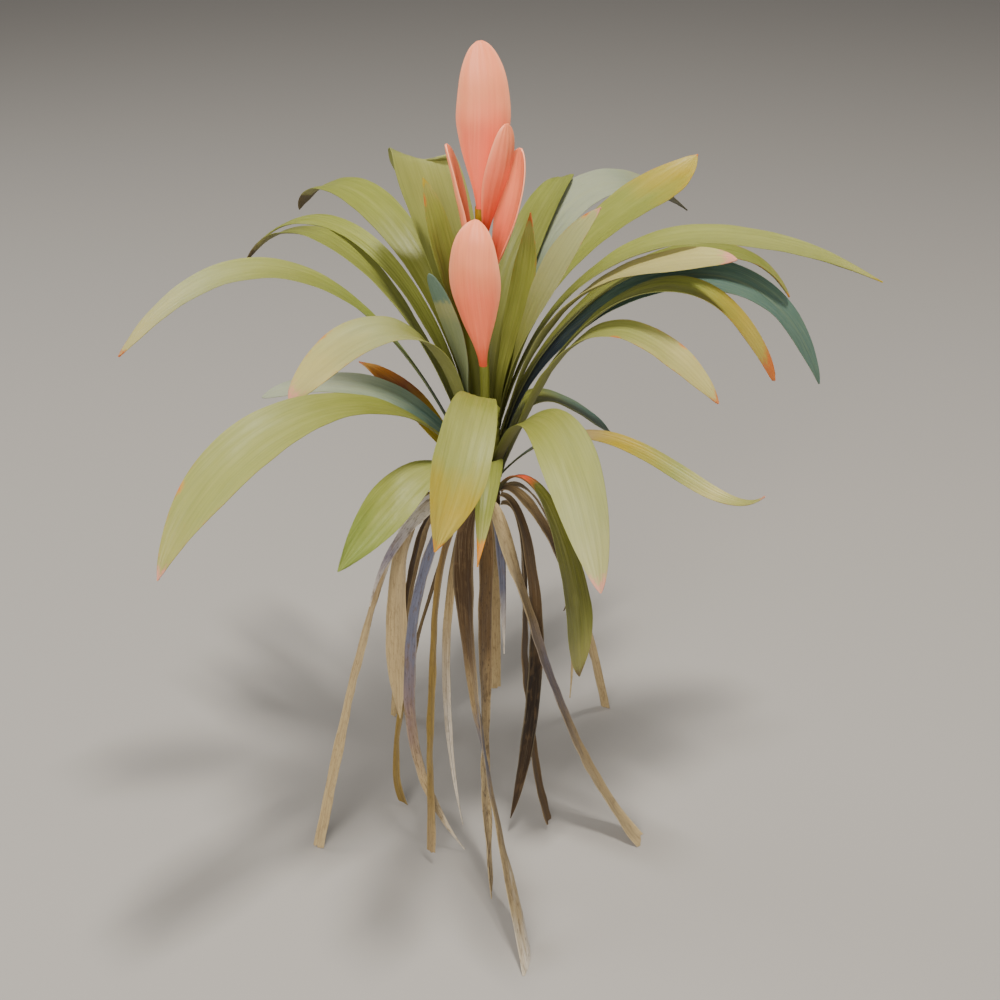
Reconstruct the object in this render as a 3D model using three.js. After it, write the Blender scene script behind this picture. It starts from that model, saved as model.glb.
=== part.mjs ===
// A bromeliad lifted out of its soil: a rosette of strap-shaped green leaves round a short stem, a stalk
// with five coral bracts, and a skirt of dry leaves that hangs from the stem's lower end. The plant stands
// on the cut ends of its five longest dry leaves. Millimetres, +Z up, leaf headings in degrees from +X.
import * as THREE from 'three';

// Driving dimensions
const STEM = { radius: 9, bottom: 233, shoulder: 299, top: 303, bevel: 2, sides: 20 };
const STALK = { radius: 3, top: 421, lean: -2, sides: 10, steps: 6 };
const SEAT_GAP = 0.35;
const ROLL_START = 0.35;
const LEAF = {
  thickness: 0.9, foot: 6.5, tip: 1.4, swell: 0.55, taper: 0.5, blunt: 1, cup: [0.35, 0.25],
  rows: 12, columns: 4,
};
const STRAP = {
  thickness: 0.8, foot: 5, tip: 1.2, swell: 0.3, taper: 0.35, blunt: 1, cup: [0.35, 0.25],
  rows: 10, columns: 2,
};
const BRACT = {
  thickness: 1.2, foot: 5, tip: 5, swell: 0.6, taper: 0.55, blunt: 0.5, cup: [0.9, 0.6],
  rows: 9, columns: 6,
};

// Finishes
const GREEN = { color: 0x9fa566, roughness: 0.55, metalness: 0 };
const BLUE_GREEN = { color: 0x8a9c88, roughness: 0.55, metalness: 0 };
const CORAL = { color: 0xe08f78, roughness: 0.5, metalness: 0 };
const STRAW = { color: 0xb5a27a, roughness: 0.85, metalness: 0 };
const BROWN = { color: 0x5b452f, roughness: 0.85, metalness: 0 };
const STEM_GREEN = { color: 0x6c6a38, roughness: 0.7, metalness: 0 };

// Green leaves. Each lies in the upright plane of its heading, and rise, fall and tip are points of that
// plane as [distance from the axis, height], with foot the height where it leaves the stem. The curve
// leaves the foot towards rise and comes into the tip from fall. seat turns the foot round the stem,
// sway bows the blade to its left. roll turns it about its own line, from the first angle to the second,
// and eases in over the first ROLL_START of the length, so that the foot stays flat on the stem. A blade
// widens until swell and closes from taper, both shares of its length, with a rounder end where blunt is
// small. cup is half the angle of the arc across it, at the foot and at the tip.
const LEAVES = [
  { name: 'leaf_outer_front_left', heading: 230, foot: 250, rise: [34, 288], fall: [60, 289],
    tip: [124, 247], width: 29, roll: [33, -62], swell: 0.9, taper: 0.68, blunt: 0.78 },
  { name: 'leaf_outer_front_hanging', heading: 318, foot: 247, rise: [36, 296], fall: [76, 232],
    tip: [77, 143], width: 34.5, roll: [-34, -5], swell: 1.1, taper: 0.81, blunt: 0.85 },
  { name: 'leaf_outer_front_folded', heading: 268, foot: 251, seat: 14, rise: [26, 296], fall: [76, 302],
    tip: [98, 252], width: 16, sway: 6, cup: [0.5, 0.7] },
  { name: 'leaf_outer_left_bluish', heading: 158, foot: 256, rise: [36, 304], fall: [101, 310],
    tip: [152, 279], width: 24, roll: [12, -23], swell: 0.46, taper: 0.48, blunt: 0.61, blue: true },
  { name: 'leaf_outer_back_left', heading: 140, foot: 249, rise: [40, 271], fall: [66, 298],
    tip: [104, 299], width: 20 },
  { name: 'leaf_outer_back_right', heading: 32, foot: 252, rise: [26, 300], fall: [25, 319],
    tip: [92, 259], width: 29, roll: [-34, 15], swell: 0.83, taper: 0.85, blunt: 0.45 },
  { name: 'leaf_outer_right_twisted', heading: 331, foot: 257, rise: [80, 352], fall: [143, 252],
    tip: [173, 288], width: 14, roll: [0, 15] },
  { name: 'leaf_front_left_broad', heading: 224, foot: 260, rise: [70, 360], fall: [177, 363],
    tip: [224, 281], width: 35.5, roll: [-13, -21], swell: 0.85, taper: 0.6, blunt: 0.86 },
  { name: 'leaf_front_broad', heading: 262, seat: 3, foot: 266, rise: [40, 355], fall: [122, 375],
    tip: [164, 302], width: 31.5, sway: 20, roll: [12, -42], swell: 0.89, taper: 0.8, blunt: 0.89 },
  { name: 'leaf_front_right_broad', heading: 289, seat: 4, foot: 260, rise: [58, 342], fall: [132, 369],
    tip: [178, 282], width: 43, roll: [9, 41], swell: 1.1, taper: 0.55, blunt: 0.72 },
  { name: 'leaf_left_arched', heading: 208, foot: 268, rise: [16, 340], fall: [49, 397], tip: [119, 332],
    width: 34, roll: [18, -13], swell: 0.6, taper: 0.76, blunt: 0.58 },
  { name: 'leaf_left_long', heading: 186, foot: 264, rise: [70, 420], fall: [147, 411], tip: [205, 342],
    width: 31.5, roll: [16, -23], swell: 0.8, taper: 0.42, blunt: 0.67 },
  { name: 'leaf_right_low', heading: 342, foot: 259, rise: [33, 317], fall: [57, 411], tip: [136, 323],
    width: 21.5, roll: [-34, 22], swell: 0.65, taper: 0.85, blunt: 0.68 },
  { name: 'leaf_right_middle', heading: 358, foot: 265.5, rise: [31, 336], fall: [104, 445],
    tip: [167, 320], width: 24, roll: [-34, 21], swell: 0.98, taper: 0.85, blunt: 0.45 },
  { name: 'leaf_right_blue', heading: 17, foot: 272, rise: [34, 372], fall: [168, 420], tip: [220, 285],
    width: 25, roll: [-20, 55], taper: 0.65, blunt: 0.6, blue: true },
  { name: 'leaf_back_left_curled', heading: 152, foot: 270, rise: [32, 342], fall: [112, 437],
    tip: [169, 357], width: 29, roll: [34, -1], swell: 0.66, taper: 0.49 },
  { name: 'leaf_back_left_long', heading: 143, foot: 276, rise: [28, 350], fall: [98, 430],
    tip: [178, 364], width: 20.5, roll: [0, -24], swell: 1.1, taper: 0.35 },
  { name: 'leaf_right_under', heading: 18, foot: 277, rise: [32, 370], fall: [146, 421], tip: [194, 345],
    width: 20.5, roll: [-34, 30], swell: 0.55, taper: 0.35, blunt: 0.45 },
  { name: 'leaf_right_pale', heading: 352, foot: 284, rise: [32, 370], fall: [62, 394], tip: [138, 398],
    width: 32.5, roll: [-34, 8], swell: 0.89, taper: 0.84, blunt: 0.76 },
  { name: 'leaf_right_long', heading: 5, foot: 293, rise: [46, 432], fall: [151, 410], tip: [229, 370],
    width: 29.5, roll: [-22, 25], swell: 0.59, taper: 0.38 },
  { name: 'leaf_back_left_tall', heading: 129, foot: 281, rise: [28, 387], fall: [142, 433],
    tip: [195, 370], width: 24.5, roll: [-34, 0], swell: 0.62, taper: 0.64, blunt: 0.7 },
  { name: 'leaf_back_right_ochre', heading: 44, foot: 284, rise: [38, 402], fall: [127, 383.5],
    tip: [184, 413], width: 37.5, roll: [-17, 8], swell: 0.82, taper: 0.71, blunt: 0.91 },
  { name: 'leaf_back_right_blue', heading: 53, seat: 8, foot: 289, rise: [38, 401], fall: [144, 425],
    tip: [225, 360], width: 27, sway: 31, roll: [-30, 43], taper: 0.72, blunt: 0.98, blue: true },
  { name: 'leaf_back_right_tall', heading: 69, seat: 3, foot: 293, rise: [22, 402], fall: [150, 410],
    tip: [131, 396], width: 24, sway: -6, roll: [0, -24], swell: 0.37 },
  { name: 'leaf_back_creased', heading: 106, seat: 6, foot: 290, rise: [28, 392], fall: [65, 523],
    tip: [43, 356], width: 42, sway: 52, roll: [15, 15], swell: 0.43, cup: [0.5, 0.37] },
  { name: 'leaf_inner_left', heading: 158, foot: 297, rise: [9, 331], fall: [26, 405], tip: [36, 433],
    width: 21.5, roll: [7, -28], swell: 0.8, taper: 0.52, blunt: 0.91 },
  { name: 'leaf_inner_front_left', heading: 205, foot: 294, rise: [16, 325], fall: [10, 330],
    tip: [33, 388], width: 18, roll: [-34, 52], swell: 1, taper: 0.45, blunt: 0.45 },
  { name: 'leaf_inner_right', heading: 348, foot: 298, rise: [16, 335], fall: [38, 398], tip: [64, 425],
    width: 28.5, roll: [1, 52], swell: 0.7, taper: 0.45, blunt: 0.94 },
  { name: 'leaf_inner_back_right', heading: 34, seat: 8, foot: 298, rise: [14, 340], fall: [32, 365],
    tip: [31, 412], width: 24, roll: [2, 21], swell: 1, taper: 0.46, blunt: 0.93 },
  { name: 'leaf_outer_back', heading: 82, foot: 256, rise: [30, 315], fall: [95, 335],
    tip: [150, 285], width: 30 },
  { name: 'leaf_back_low', heading: 106, foot: 264, rise: [30, 345], fall: [110, 370],
    tip: [165, 320], width: 32 },
];

// Dry leaves, written the same way. Those with cut set end square; where the height of the tip is 0 the cut
// end stands on the surface and carries the plant.
const STRAPS = [
  { name: 'dry_leaf_foot_front', heading: 280, seat: -29, foot: 240, rise: [53, 267], fall: [-18, 130],
    tip: [150, 0], width: 16, sway: -19, roll: [-30, 130], swell: 0.5, cut: true },
  { name: 'dry_leaf_foot_left', heading: 204, foot: 244, rise: [50, 266], fall: [61, 210], tip: [122, 0],
    width: 7.5, sway: -25, roll: [34, -37], cut: true },
  { name: 'dry_leaf_foot_right', heading: 337, seat: -52, foot: 241, rise: [33, 261], fall: [45, 50],
    tip: [111, 0], width: 14, sway: 5, roll: [-34, -8], cut: true },
  { name: 'dry_leaf_foot_back_right', heading: 48, foot: 240, rise: [31, 257], fall: [95, 141],
    tip: [132, 0], width: 7, roll: [1, -19], cut: true },
  { name: 'dry_leaf_foot_back_left', heading: 128, foot: 240, rise: [40, 262], fall: [95, 150],
    tip: [112, 0], width: 8, cut: true },
  { name: 'dry_leaf_spike_left', heading: 215, foot: 246, rise: [25, 262], fall: [70, 238],
    tip: [84, 192], width: 10.5, roll: [1, 3], taper: 0.41, blunt: 0.99 },
  { name: 'dry_leaf_pale_left', heading: 201, foot: 239, rise: [44, 260], fall: [55, 220], tip: [60, 86],
    width: 19.5, sway: -25, roll: [34, -34], taper: 0.84, blunt: 0.8 },
  { name: 'dry_leaf_long_left', heading: 255, seat: -30, foot: 242, rise: [50, 262], fall: [59, 87],
    tip: [56, 3], width: 9, sway: -65, roll: [32, 3], taper: 0.67, blunt: 0.99 },
  { name: 'dry_leaf_curled_left', heading: 189, foot: 236, rise: [18, 238], fall: [77, 54], tip: [58, 2],
    width: 7, sway: -2, roll: [19, -41], cut: true },
  { name: 'dry_leaf_front_left', heading: 240, seat: -16, foot: 238, rise: [48, 252], fall: [58, 100],
    tip: [72.7, 9], width: 7, sway: -6, roll: [20, 20], cut: true },
  { name: 'dry_leaf_split_left', heading: 250, seat: -30, foot: 234.5, rise: [22, 239], fall: [36, 130],
    tip: [46, 14], width: 6, sway: -26, roll: [29, -28], taper: 0.5 },
  { name: 'dry_leaf_mottled_front', heading: 272, foot: 238, rise: [35, 241], fall: [35, 52],
    tip: [91, 4], width: 12, sway: -6, roll: [-34, -75], cut: true },
  { name: 'dry_leaf_spike_front', heading: 294, foot: 234.5, rise: [22, 240], fall: [27, 190],
    tip: [28, 141], width: 6 },
  { name: 'dry_leaf_dark_right', heading: 294, seat: 46, foot: 243, rise: [28, 248], fall: [25, 131],
    tip: [39, 13], width: 10.5, sway: 39, roll: [-34, 13], taper: 0.77, blunt: 0.74, dark: true },
  { name: 'dry_leaf_brown_right', heading: 325, seat: 25, foot: 236, rise: [36, 247], fall: [11, 98],
    tip: [51, 4], width: 10.5, sway: 4, roll: [-13, -15], cut: true, dark: true },
  { name: 'dry_leaf_spike_right', heading: 348, foot: 246, rise: [24, 258], fall: [60, 187],
    tip: [50, 163], width: 8, roll: [34, -8], taper: 0.35, dark: true },
  { name: 'dry_leaf_back_right', heading: 20, foot: 242, rise: [34, 262], fall: [66, 170],
    tip: [60, 70], width: 9, taper: 0.6 },
  { name: 'dry_leaf_back', heading: 86, foot: 241, rise: [34, 262], fall: [72, 150],
    tip: [70, 40], width: 9, cut: true },
  { name: 'dry_leaf_back_left', heading: 106, foot: 236, rise: [34, 256], fall: [60, 180],
    tip: [64, 90], width: 8, taper: 0.5, dark: true },
  { name: 'dry_leaf_left', heading: 160, foot: 242, rise: [34, 262], fall: [66, 160],
    tip: [60, 55], width: 9, taper: 0.6, dark: true },
];

// Bracts. foot is the height on the stalk's axis, and the points are as for a leaf, from that axis.
const BRACTS = [
  { name: 'bract_lowest', heading: 258, foot: 328, rise: [10, 352], fall: [30, 396],
    tip: [16, 419], width: 31, sway: -4 },
  { name: 'bract_left', heading: 190, foot: 366, rise: [6, 385], fall: [13, 430],
    tip: [19, 456], width: 20, roll: [0, -25] },
  { name: 'bract_right', heading: 346, foot: 374, rise: [10, 395], fall: [22, 427],
    tip: [21.5, 454.5], width: 24.5, roll: [25, 55] },
  { name: 'bract_small', heading: 312, foot: 404, rise: [7, 420], fall: [20.5, 446],
    tip: [21, 470], width: 18, roll: [0, -14] },
  { name: 'bract_top', heading: 275, foot: 421, rise: [3, 440], fall: [14, 480],
    tip: [3, 509], width: 31, sway: 4 },
];

const radians = THREE.MathUtils.degToRad;
const { smoothstep, lerp } = THREE.MathUtils;

function polar(radius, degrees, height) {
  const angle = radians(degrees);
  return new THREE.Vector3(radius * Math.cos(angle), radius * Math.sin(angle), height);
}

function sideways(degrees) {
  const angle = radians(degrees);
  return new THREE.Vector3(-Math.sin(angle), Math.cos(angle), 0);
}

// The centre line of a blade that leaves the axis at the given radius.
function centreLine(blade, radius) {
  const { heading, foot, rise, fall, tip, seat = 0, sway = 0, axis = [0, 0] } = blade;
  const start = polar(radius, heading + seat, foot);
  const lift = polar(rise[0], heading + seat, rise[1]);
  const drop = polar(fall[0], heading, fall[1]).addScaledVector(sideways(heading), sway);
  const end = polar(tip[0], heading, tip[1]);
  const shift = new THREE.Vector3(axis[0], axis[1], 0);
  return new THREE.CubicBezierCurve3(...[start, lift, drop, end].map((point) => point.add(shift)));
}

// The width along a blade: it swells from a narrow foot, then closes to its tip.
function widthAt(t, blade, kind) {
  const { width, cut = false, blunt = kind.blunt, swell = kind.swell, taper = kind.taper } = blade;
  const swollen = lerp(Math.min(kind.foot, width), width, smoothstep(t, 0, swell));
  if (cut || t < taper) {
    return swollen;
  }
  const s = (t - taper) / (1 - taper);
  return Math.max(swollen * (1 - s * s) ** blunt, kind.tip);
}

// One blade as a thin closed solid. Rows of points run across it, along a shallow arc that opens towards
// the upper face, first on the upper face and then on the lower.
function bladeGeometry(blade, kind, radius) {
  const { heading, seat = 0, cut = false, roll = [0, 0], cup = kind.cup } = blade;
  const { rows, columns, thickness } = kind;
  const line = centreLine(blade, radius);
  const positions = [];
  for (const face of [1, -1]) {
    for (let i = 0; i <= rows; i += 1) {
      const t = i / rows;
      const centre = line.getPoint(t);
      const along = line.getTangent(t);
      const across = sideways(heading + seat * (1 - t) ** 2);
      across.addScaledVector(along, -across.dot(along)).normalize();
      across.applyAxisAngle(along, radians(lerp(roll[0], roll[1], t) * smoothstep(t, 0, ROLL_START)));
      const upward = new THREE.Vector3().crossVectors(along, across);
      const half = lerp(cup[0], cup[1], t);
      const bend = widthAt(t, blade, kind) / (2 * half);
      for (let j = 0; j <= columns; j += 1) {
        const angle = half * (2 * j / columns - 1);
        const reach = bend - face * thickness / 2;
        const point = centre.clone();
        point.addScaledVector(across, reach * Math.sin(angle));
        point.addScaledVector(upward, bend - reach * Math.cos(angle));
        if (cut && i === rows) {
          point.addScaledVector(along, (blade.tip[1] - point.z) / along.z);
        }
        positions.push(point.x, point.y, point.z);
      }
    }
  }
  const row = columns + 1;
  const layer = row * (rows + 1);
  const index = [];
  const quad = (a, b, c, d) => index.push(a, b, c, a, c, d);
  for (let i = 0; i < rows; i += 1) {
    for (let j = 0; j < columns; j += 1) {
      const a = i * row + j;
      quad(a, a + row, a + row + 1, a + 1);
      index.push(layer + a, layer + a + row + 1, layer + a + row);
      index.push(layer + a, layer + a + 1, layer + a + row + 1);
    }
    const left = i * row;
    const right = left + columns;
    quad(left, layer + left, layer + left + row, left + row);
    quad(right, right + row, layer + right + row, layer + right);
  }
  for (let j = 0; j < columns; j += 1) {
    const last = rows * row + j;
    quad(j, j + 1, layer + j + 1, layer + j);
    quad(last, layer + last, layer + last + 1, last + 1);
  }
  const geometry = new THREE.BufferGeometry();
  geometry.setAttribute('position', new THREE.Float32BufferAttribute(positions, 3));
  geometry.setIndex(index);
  geometry.computeVertexNormals();
  return geometry;
}

function piece(name, geometry, finish) {
  const mesh = new THREE.Mesh(geometry, new THREE.MeshStandardMaterial(finish));
  mesh.name = name;
  return mesh;
}

// The short stem that every leaf grows from, cut flat below.
function makeStem() {
  const { radius, bottom, shoulder, top, bevel, sides } = STEM;
  const outline = [
    [0, bottom], [radius - bevel, bottom], [radius, bottom + bevel], [radius, shoulder],
    [radius - bevel, top - bevel], [radius / 2, top], [0, top],
  ].map(([x, z]) => new THREE.Vector2(x, z));
  const geometry = new THREE.LatheGeometry(outline, sides);
  geometry.rotateX(Math.PI / 2);
  return piece('stem', geometry, STEM_GREEN);
}

// Where the stalk's axis runs at a height: upright out of the stem, then leaning.
function stalkAxis(height) {
  const share = (height - STEM.top) / (STALK.top - STEM.top);
  return [STALK.lean * smoothstep(share, 0, 1), 0];
}

function makeStalk() {
  const points = [];
  for (let i = 0; i <= STALK.steps; i += 1) {
    const height = lerp(STEM.top + SEAT_GAP, STALK.top, i / STALK.steps);
    points.push(new THREE.Vector3(...stalkAxis(height), height));
  }
  const section = new THREE.Shape();
  section.absarc(0, 0, STALK.radius, 0, 2 * Math.PI);
  const geometry = new THREE.ExtrudeGeometry(section, {
    steps: STALK.steps, curveSegments: STALK.sides / 2, extrudePath: new THREE.CatmullRomCurve3(points),
  });
  return piece('flower_stalk', geometry, STEM_GREEN);
}

function makeBract(bract) {
  const blade = { ...bract, axis: stalkAxis(bract.foot) };
  const radius = STALK.radius + SEAT_GAP + BRACT.thickness / 2;
  return piece(bract.name, bladeGeometry(blade, BRACT, radius), CORAL);
}

function makeLeaf(leaf) {
  const radius = STEM.radius + SEAT_GAP + LEAF.thickness / 2;
  return piece(leaf.name, bladeGeometry(leaf, LEAF, radius), leaf.blue ? BLUE_GREEN : GREEN);
}

function makeStrap(strap) {
  const radius = STEM.radius + SEAT_GAP + STRAP.thickness / 2;
  return piece(strap.name, bladeGeometry(strap, STRAP, radius), strap.dark ? BROWN : STRAW);
}

const plant = new THREE.Group();
plant.add(makeStem(), makeStalk());
plant.add(...BRACTS.map(makeBract), ...LEAVES.map(makeLeaf), ...STRAPS.map(makeStrap));

// The origin is the middle of the footprint, on the surface that the plant stands on.
const bounds = new THREE.Box3().setFromObject(plant, true);
const middle = bounds.getCenter(new THREE.Vector3());
plant.position.set(-middle.x, -middle.y, -bounds.min.z);

const bromeliad = new THREE.Group();
bromeliad.add(plant);

export default bromeliad;
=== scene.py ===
"""The looks of a bromeliad that was lifted out of its soil.

A rosette of strap-shaped leaves grows round a short stem. A stalk with five coral bracts rises from its
middle, and a skirt of dry leaves hangs below and carries the plant on its cut ends. Sizes are written in
millimetres and headings in degrees from +X, as in the part's own frame, and become metres in the meshes.
"""

import logging
import math
import random
from collections.abc import Mapping, Sequence
from dataclasses import dataclass, field
from enum import Enum
from typing import Any

import bmesh
import bpy
import numpy as np
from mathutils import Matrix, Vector


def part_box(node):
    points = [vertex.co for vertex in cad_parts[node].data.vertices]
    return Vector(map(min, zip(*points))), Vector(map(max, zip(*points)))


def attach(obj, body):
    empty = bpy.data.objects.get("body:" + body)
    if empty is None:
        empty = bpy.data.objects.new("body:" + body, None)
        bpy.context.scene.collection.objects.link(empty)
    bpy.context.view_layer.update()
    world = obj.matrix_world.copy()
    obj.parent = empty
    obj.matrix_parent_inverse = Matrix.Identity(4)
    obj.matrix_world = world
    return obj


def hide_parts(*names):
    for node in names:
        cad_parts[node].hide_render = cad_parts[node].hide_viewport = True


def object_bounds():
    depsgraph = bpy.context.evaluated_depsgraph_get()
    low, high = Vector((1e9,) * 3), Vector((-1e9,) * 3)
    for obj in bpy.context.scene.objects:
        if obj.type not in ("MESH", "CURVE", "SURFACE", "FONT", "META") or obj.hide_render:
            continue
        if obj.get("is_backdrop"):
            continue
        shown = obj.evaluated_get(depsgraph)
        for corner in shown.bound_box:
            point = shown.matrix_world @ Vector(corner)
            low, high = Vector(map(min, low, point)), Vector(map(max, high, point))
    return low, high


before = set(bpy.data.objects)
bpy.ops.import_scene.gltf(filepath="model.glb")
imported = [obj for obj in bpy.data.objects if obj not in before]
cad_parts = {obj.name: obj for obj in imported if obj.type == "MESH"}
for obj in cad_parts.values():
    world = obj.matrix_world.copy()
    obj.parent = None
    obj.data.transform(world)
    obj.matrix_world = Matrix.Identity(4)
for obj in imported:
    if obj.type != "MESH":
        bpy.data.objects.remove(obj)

LOG = logging.getLogger("bromeliad")
BODY = "root"
METRE = 1000.0
VIVID = 1.15
GREY_SHARES = (0.21, 0.72, 0.07)
SHARP_DEGREES = 55
NOISE_MEAN = 0.5
LINE_RELIEF = 0.7
FLECK_RELIEF = 0.3

Pair = tuple[float, float]
Colour = tuple[float, float, float, float]
Array = np.ndarray


class Slot(Enum):
    """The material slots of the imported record."""

    GREEN_LEAF = "green_leaf"
    BLUE_LEAF = "blue_green_leaf"
    BRACT = "bract"
    STEM = "stem"
    STRAW = "straw_dry_leaf"
    BROWN = "brown_dry_leaf"


class Tone(Enum):
    """The plant's colours as red, green and blue from 0 to 255."""

    MOSS = (70, 70, 20)
    OLIVE = (102, 104, 49)
    LEAF = (120, 124, 63)
    FRESH = (114, 125, 66)
    SAGE = (130, 132, 77)
    PALE = (146, 147, 104)
    CREAM = (164, 155, 104)
    BLUE = (126, 136, 114)
    MIST = (146, 150, 128)
    TEAL = (78, 100, 90)
    SLATE = (46, 58, 72)
    UMBER = (58, 52, 28)
    OCHRE = (152, 132, 54)
    MUSTARD = (122, 102, 58)
    ORANGE = (190, 122, 48)
    RUST = (170, 88, 52)
    BLUSH = (190, 130, 116)
    CLAY = (120, 66, 48)
    CORAL = (206, 84, 60)
    SALMON = (250, 128, 100)
    PEACH = (255, 152, 116)
    STRAW = (174, 154, 118)
    TAN = (144, 124, 92)
    BARK = (94, 74, 50)
    BROWN = (64, 48, 31)
    DARK = (38, 29, 21)
    MAUVE = (116, 98, 92)
    LILAC = (122, 114, 122)
    STEEL = (94, 95, 108)
    WHITE = (200, 190, 174)

    @property
    def linear(self) -> Colour:
        """The tone as linear light, with alpha 1."""
        return linear(*self.value)


def linear(red: float, green: float, blue: float) -> Colour:
    """Turns a display colour into linear light, a little stronger, because the view's tone curve dulls it.

    Args:
        red: The red share from 0 to 255.
        green: The green share from 0 to 255.
        blue: The blue share from 0 to 255.

    Returns:
        Red, green, blue and alpha from 0 to 1.
    """
    shares = [channel / 255 for channel in (red, green, blue)]
    light = [share / 12.92 if share <= 0.04045 else ((share + 0.055) / 1.055) ** 2.4 for share in shares]
    grey = sum(weight * channel for weight, channel in zip(GREY_SHARES, light))
    stronger = [min(1.0, max(0.0, lerp(grey, channel, VIVID))) for channel in light]
    return (*stronger, 1.0)


def lerp(start: Any, end: Any, share: Any) -> Any:
    """The value that lies a share of the way from start to end."""
    return start + (end - start) * share


def smooth(values: Any, low: float, high: float) -> Any:
    """Rises smoothly from 0 at low to 1 at high."""
    share = np.clip((np.asarray(values, float) - low) / (high - low), 0, 1)
    return share * share * (3 - 2 * share)


def polar(radius: float, degrees: float, height: float) -> Array:
    """The point at a distance and heading from the axis, at a height."""
    angle = math.radians(degrees)
    return np.array([radius * math.cos(angle), radius * math.sin(angle), height])


def sideways(degrees: Any) -> Array:
    """The level direction to the left of a heading, for one heading or many."""
    angle = np.radians(degrees)
    return np.stack([-np.sin(angle), np.cos(angle), np.zeros_like(angle)], axis=-1)


def unit(vectors: Array) -> Array:
    """The vectors at length 1."""
    return vectors / np.linalg.norm(vectors, axis=-1, keepdims=True)


class Wobble:
    """A smooth uneven surface, the sum of a few waves with seeded directions.

    SPREAD is how far the waves' lengths depart from the usual one.
    """

    SPREAD = (0.7, 1.6)

    def __init__(self, seed: str, wavelength: float, waves: int = 5) -> None:
        """Draws the waves.

        Args:
            seed: The text that fixes the draw.
            wavelength: The usual distance from crest to crest.
            waves: How many waves are added.
        """
        draw = random.Random(seed)
        self.waves = [
            (draw.uniform(0, math.tau), wavelength * draw.uniform(*self.SPREAD), draw.uniform(0, math.tau))
            for _ in range(waves)
        ]

    def at(self, x: Any, y: Any = 0.0) -> Any:
        """The height at a place.

        Args:
            x: The place's first coordinate.
            y: Its second.

        Returns:
            The height, mostly between -1 and 1.
        """
        total = 0.0
        for heading, length, phase in self.waves:
            total = total + np.sin(
                math.tau * (x * math.cos(heading) + y * math.sin(heading)) / length + phase
            )
        return total / math.sqrt(2 * len(self.waves))


@dataclass(frozen=True)
class Layer:
    """A colour that is laid over another.

    span is where its mask begins and where it is full, and cover is the share that it takes there.
    """

    colour: Colour
    span: Pair
    cover: float = 1
    blend: str = "MIX"


@dataclass(frozen=True)
class Noise:
    """Cloudy variation: how many clouds there are to a unit of each coordinate, and its finer layers."""

    stretch: tuple[float, float, float]
    detail: float


class Value:
    """One number that changes over a surface. Arithmetic on it adds Math nodes."""

    def __init__(self, shader: "Shader", socket: bpy.types.NodeSocket) -> None:
        """Keeps the shader and the output socket that carries the number."""
        self.shader = shader
        self.socket = socket

    def math(self, operation: str, *operands: Any) -> "Value":
        """Adds a Math node.

        Args:
            operation: The node's operation.
            operands: Its inputs in order, as numbers or values.

        Returns:
            The result.
        """
        made = self.shader.node("ShaderNodeMath", {"operation": operation}, dict(enumerate(operands)))
        return Value(self.shader, made.outputs[0])

    def __add__(self, other: Any) -> "Value":
        """self + other."""
        return self.math("ADD", self, other)

    def __radd__(self, other: Any) -> "Value":
        """other + self."""
        return self.math("ADD", other, self)

    def __sub__(self, other: Any) -> "Value":
        """self - other."""
        return self.math("SUBTRACT", self, other)

    def __rsub__(self, other: Any) -> "Value":
        """other - self."""
        return self.math("SUBTRACT", other, self)

    def __mul__(self, other: Any) -> "Value":
        """self * other."""
        return self.math("MULTIPLY", self, other)

    def __rmul__(self, other: Any) -> "Value":
        """other * self."""
        return self.math("MULTIPLY", other, self)

    def __abs__(self) -> "Value":
        """The number without its sign."""
        return self.math("ABSOLUTE", self)

    def step(self, low: float, high: float) -> "Value":
        """Rises smoothly from 0 where the number is low to 1 where it is high."""
        made = self.shader.node(
            "ShaderNodeMapRange",
            {"interpolation_type": "SMOOTHSTEP"},
            {"Value": self, "From Min": low, "From Max": high},
        )
        return Value(self.shader, made.outputs["Result"])


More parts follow.
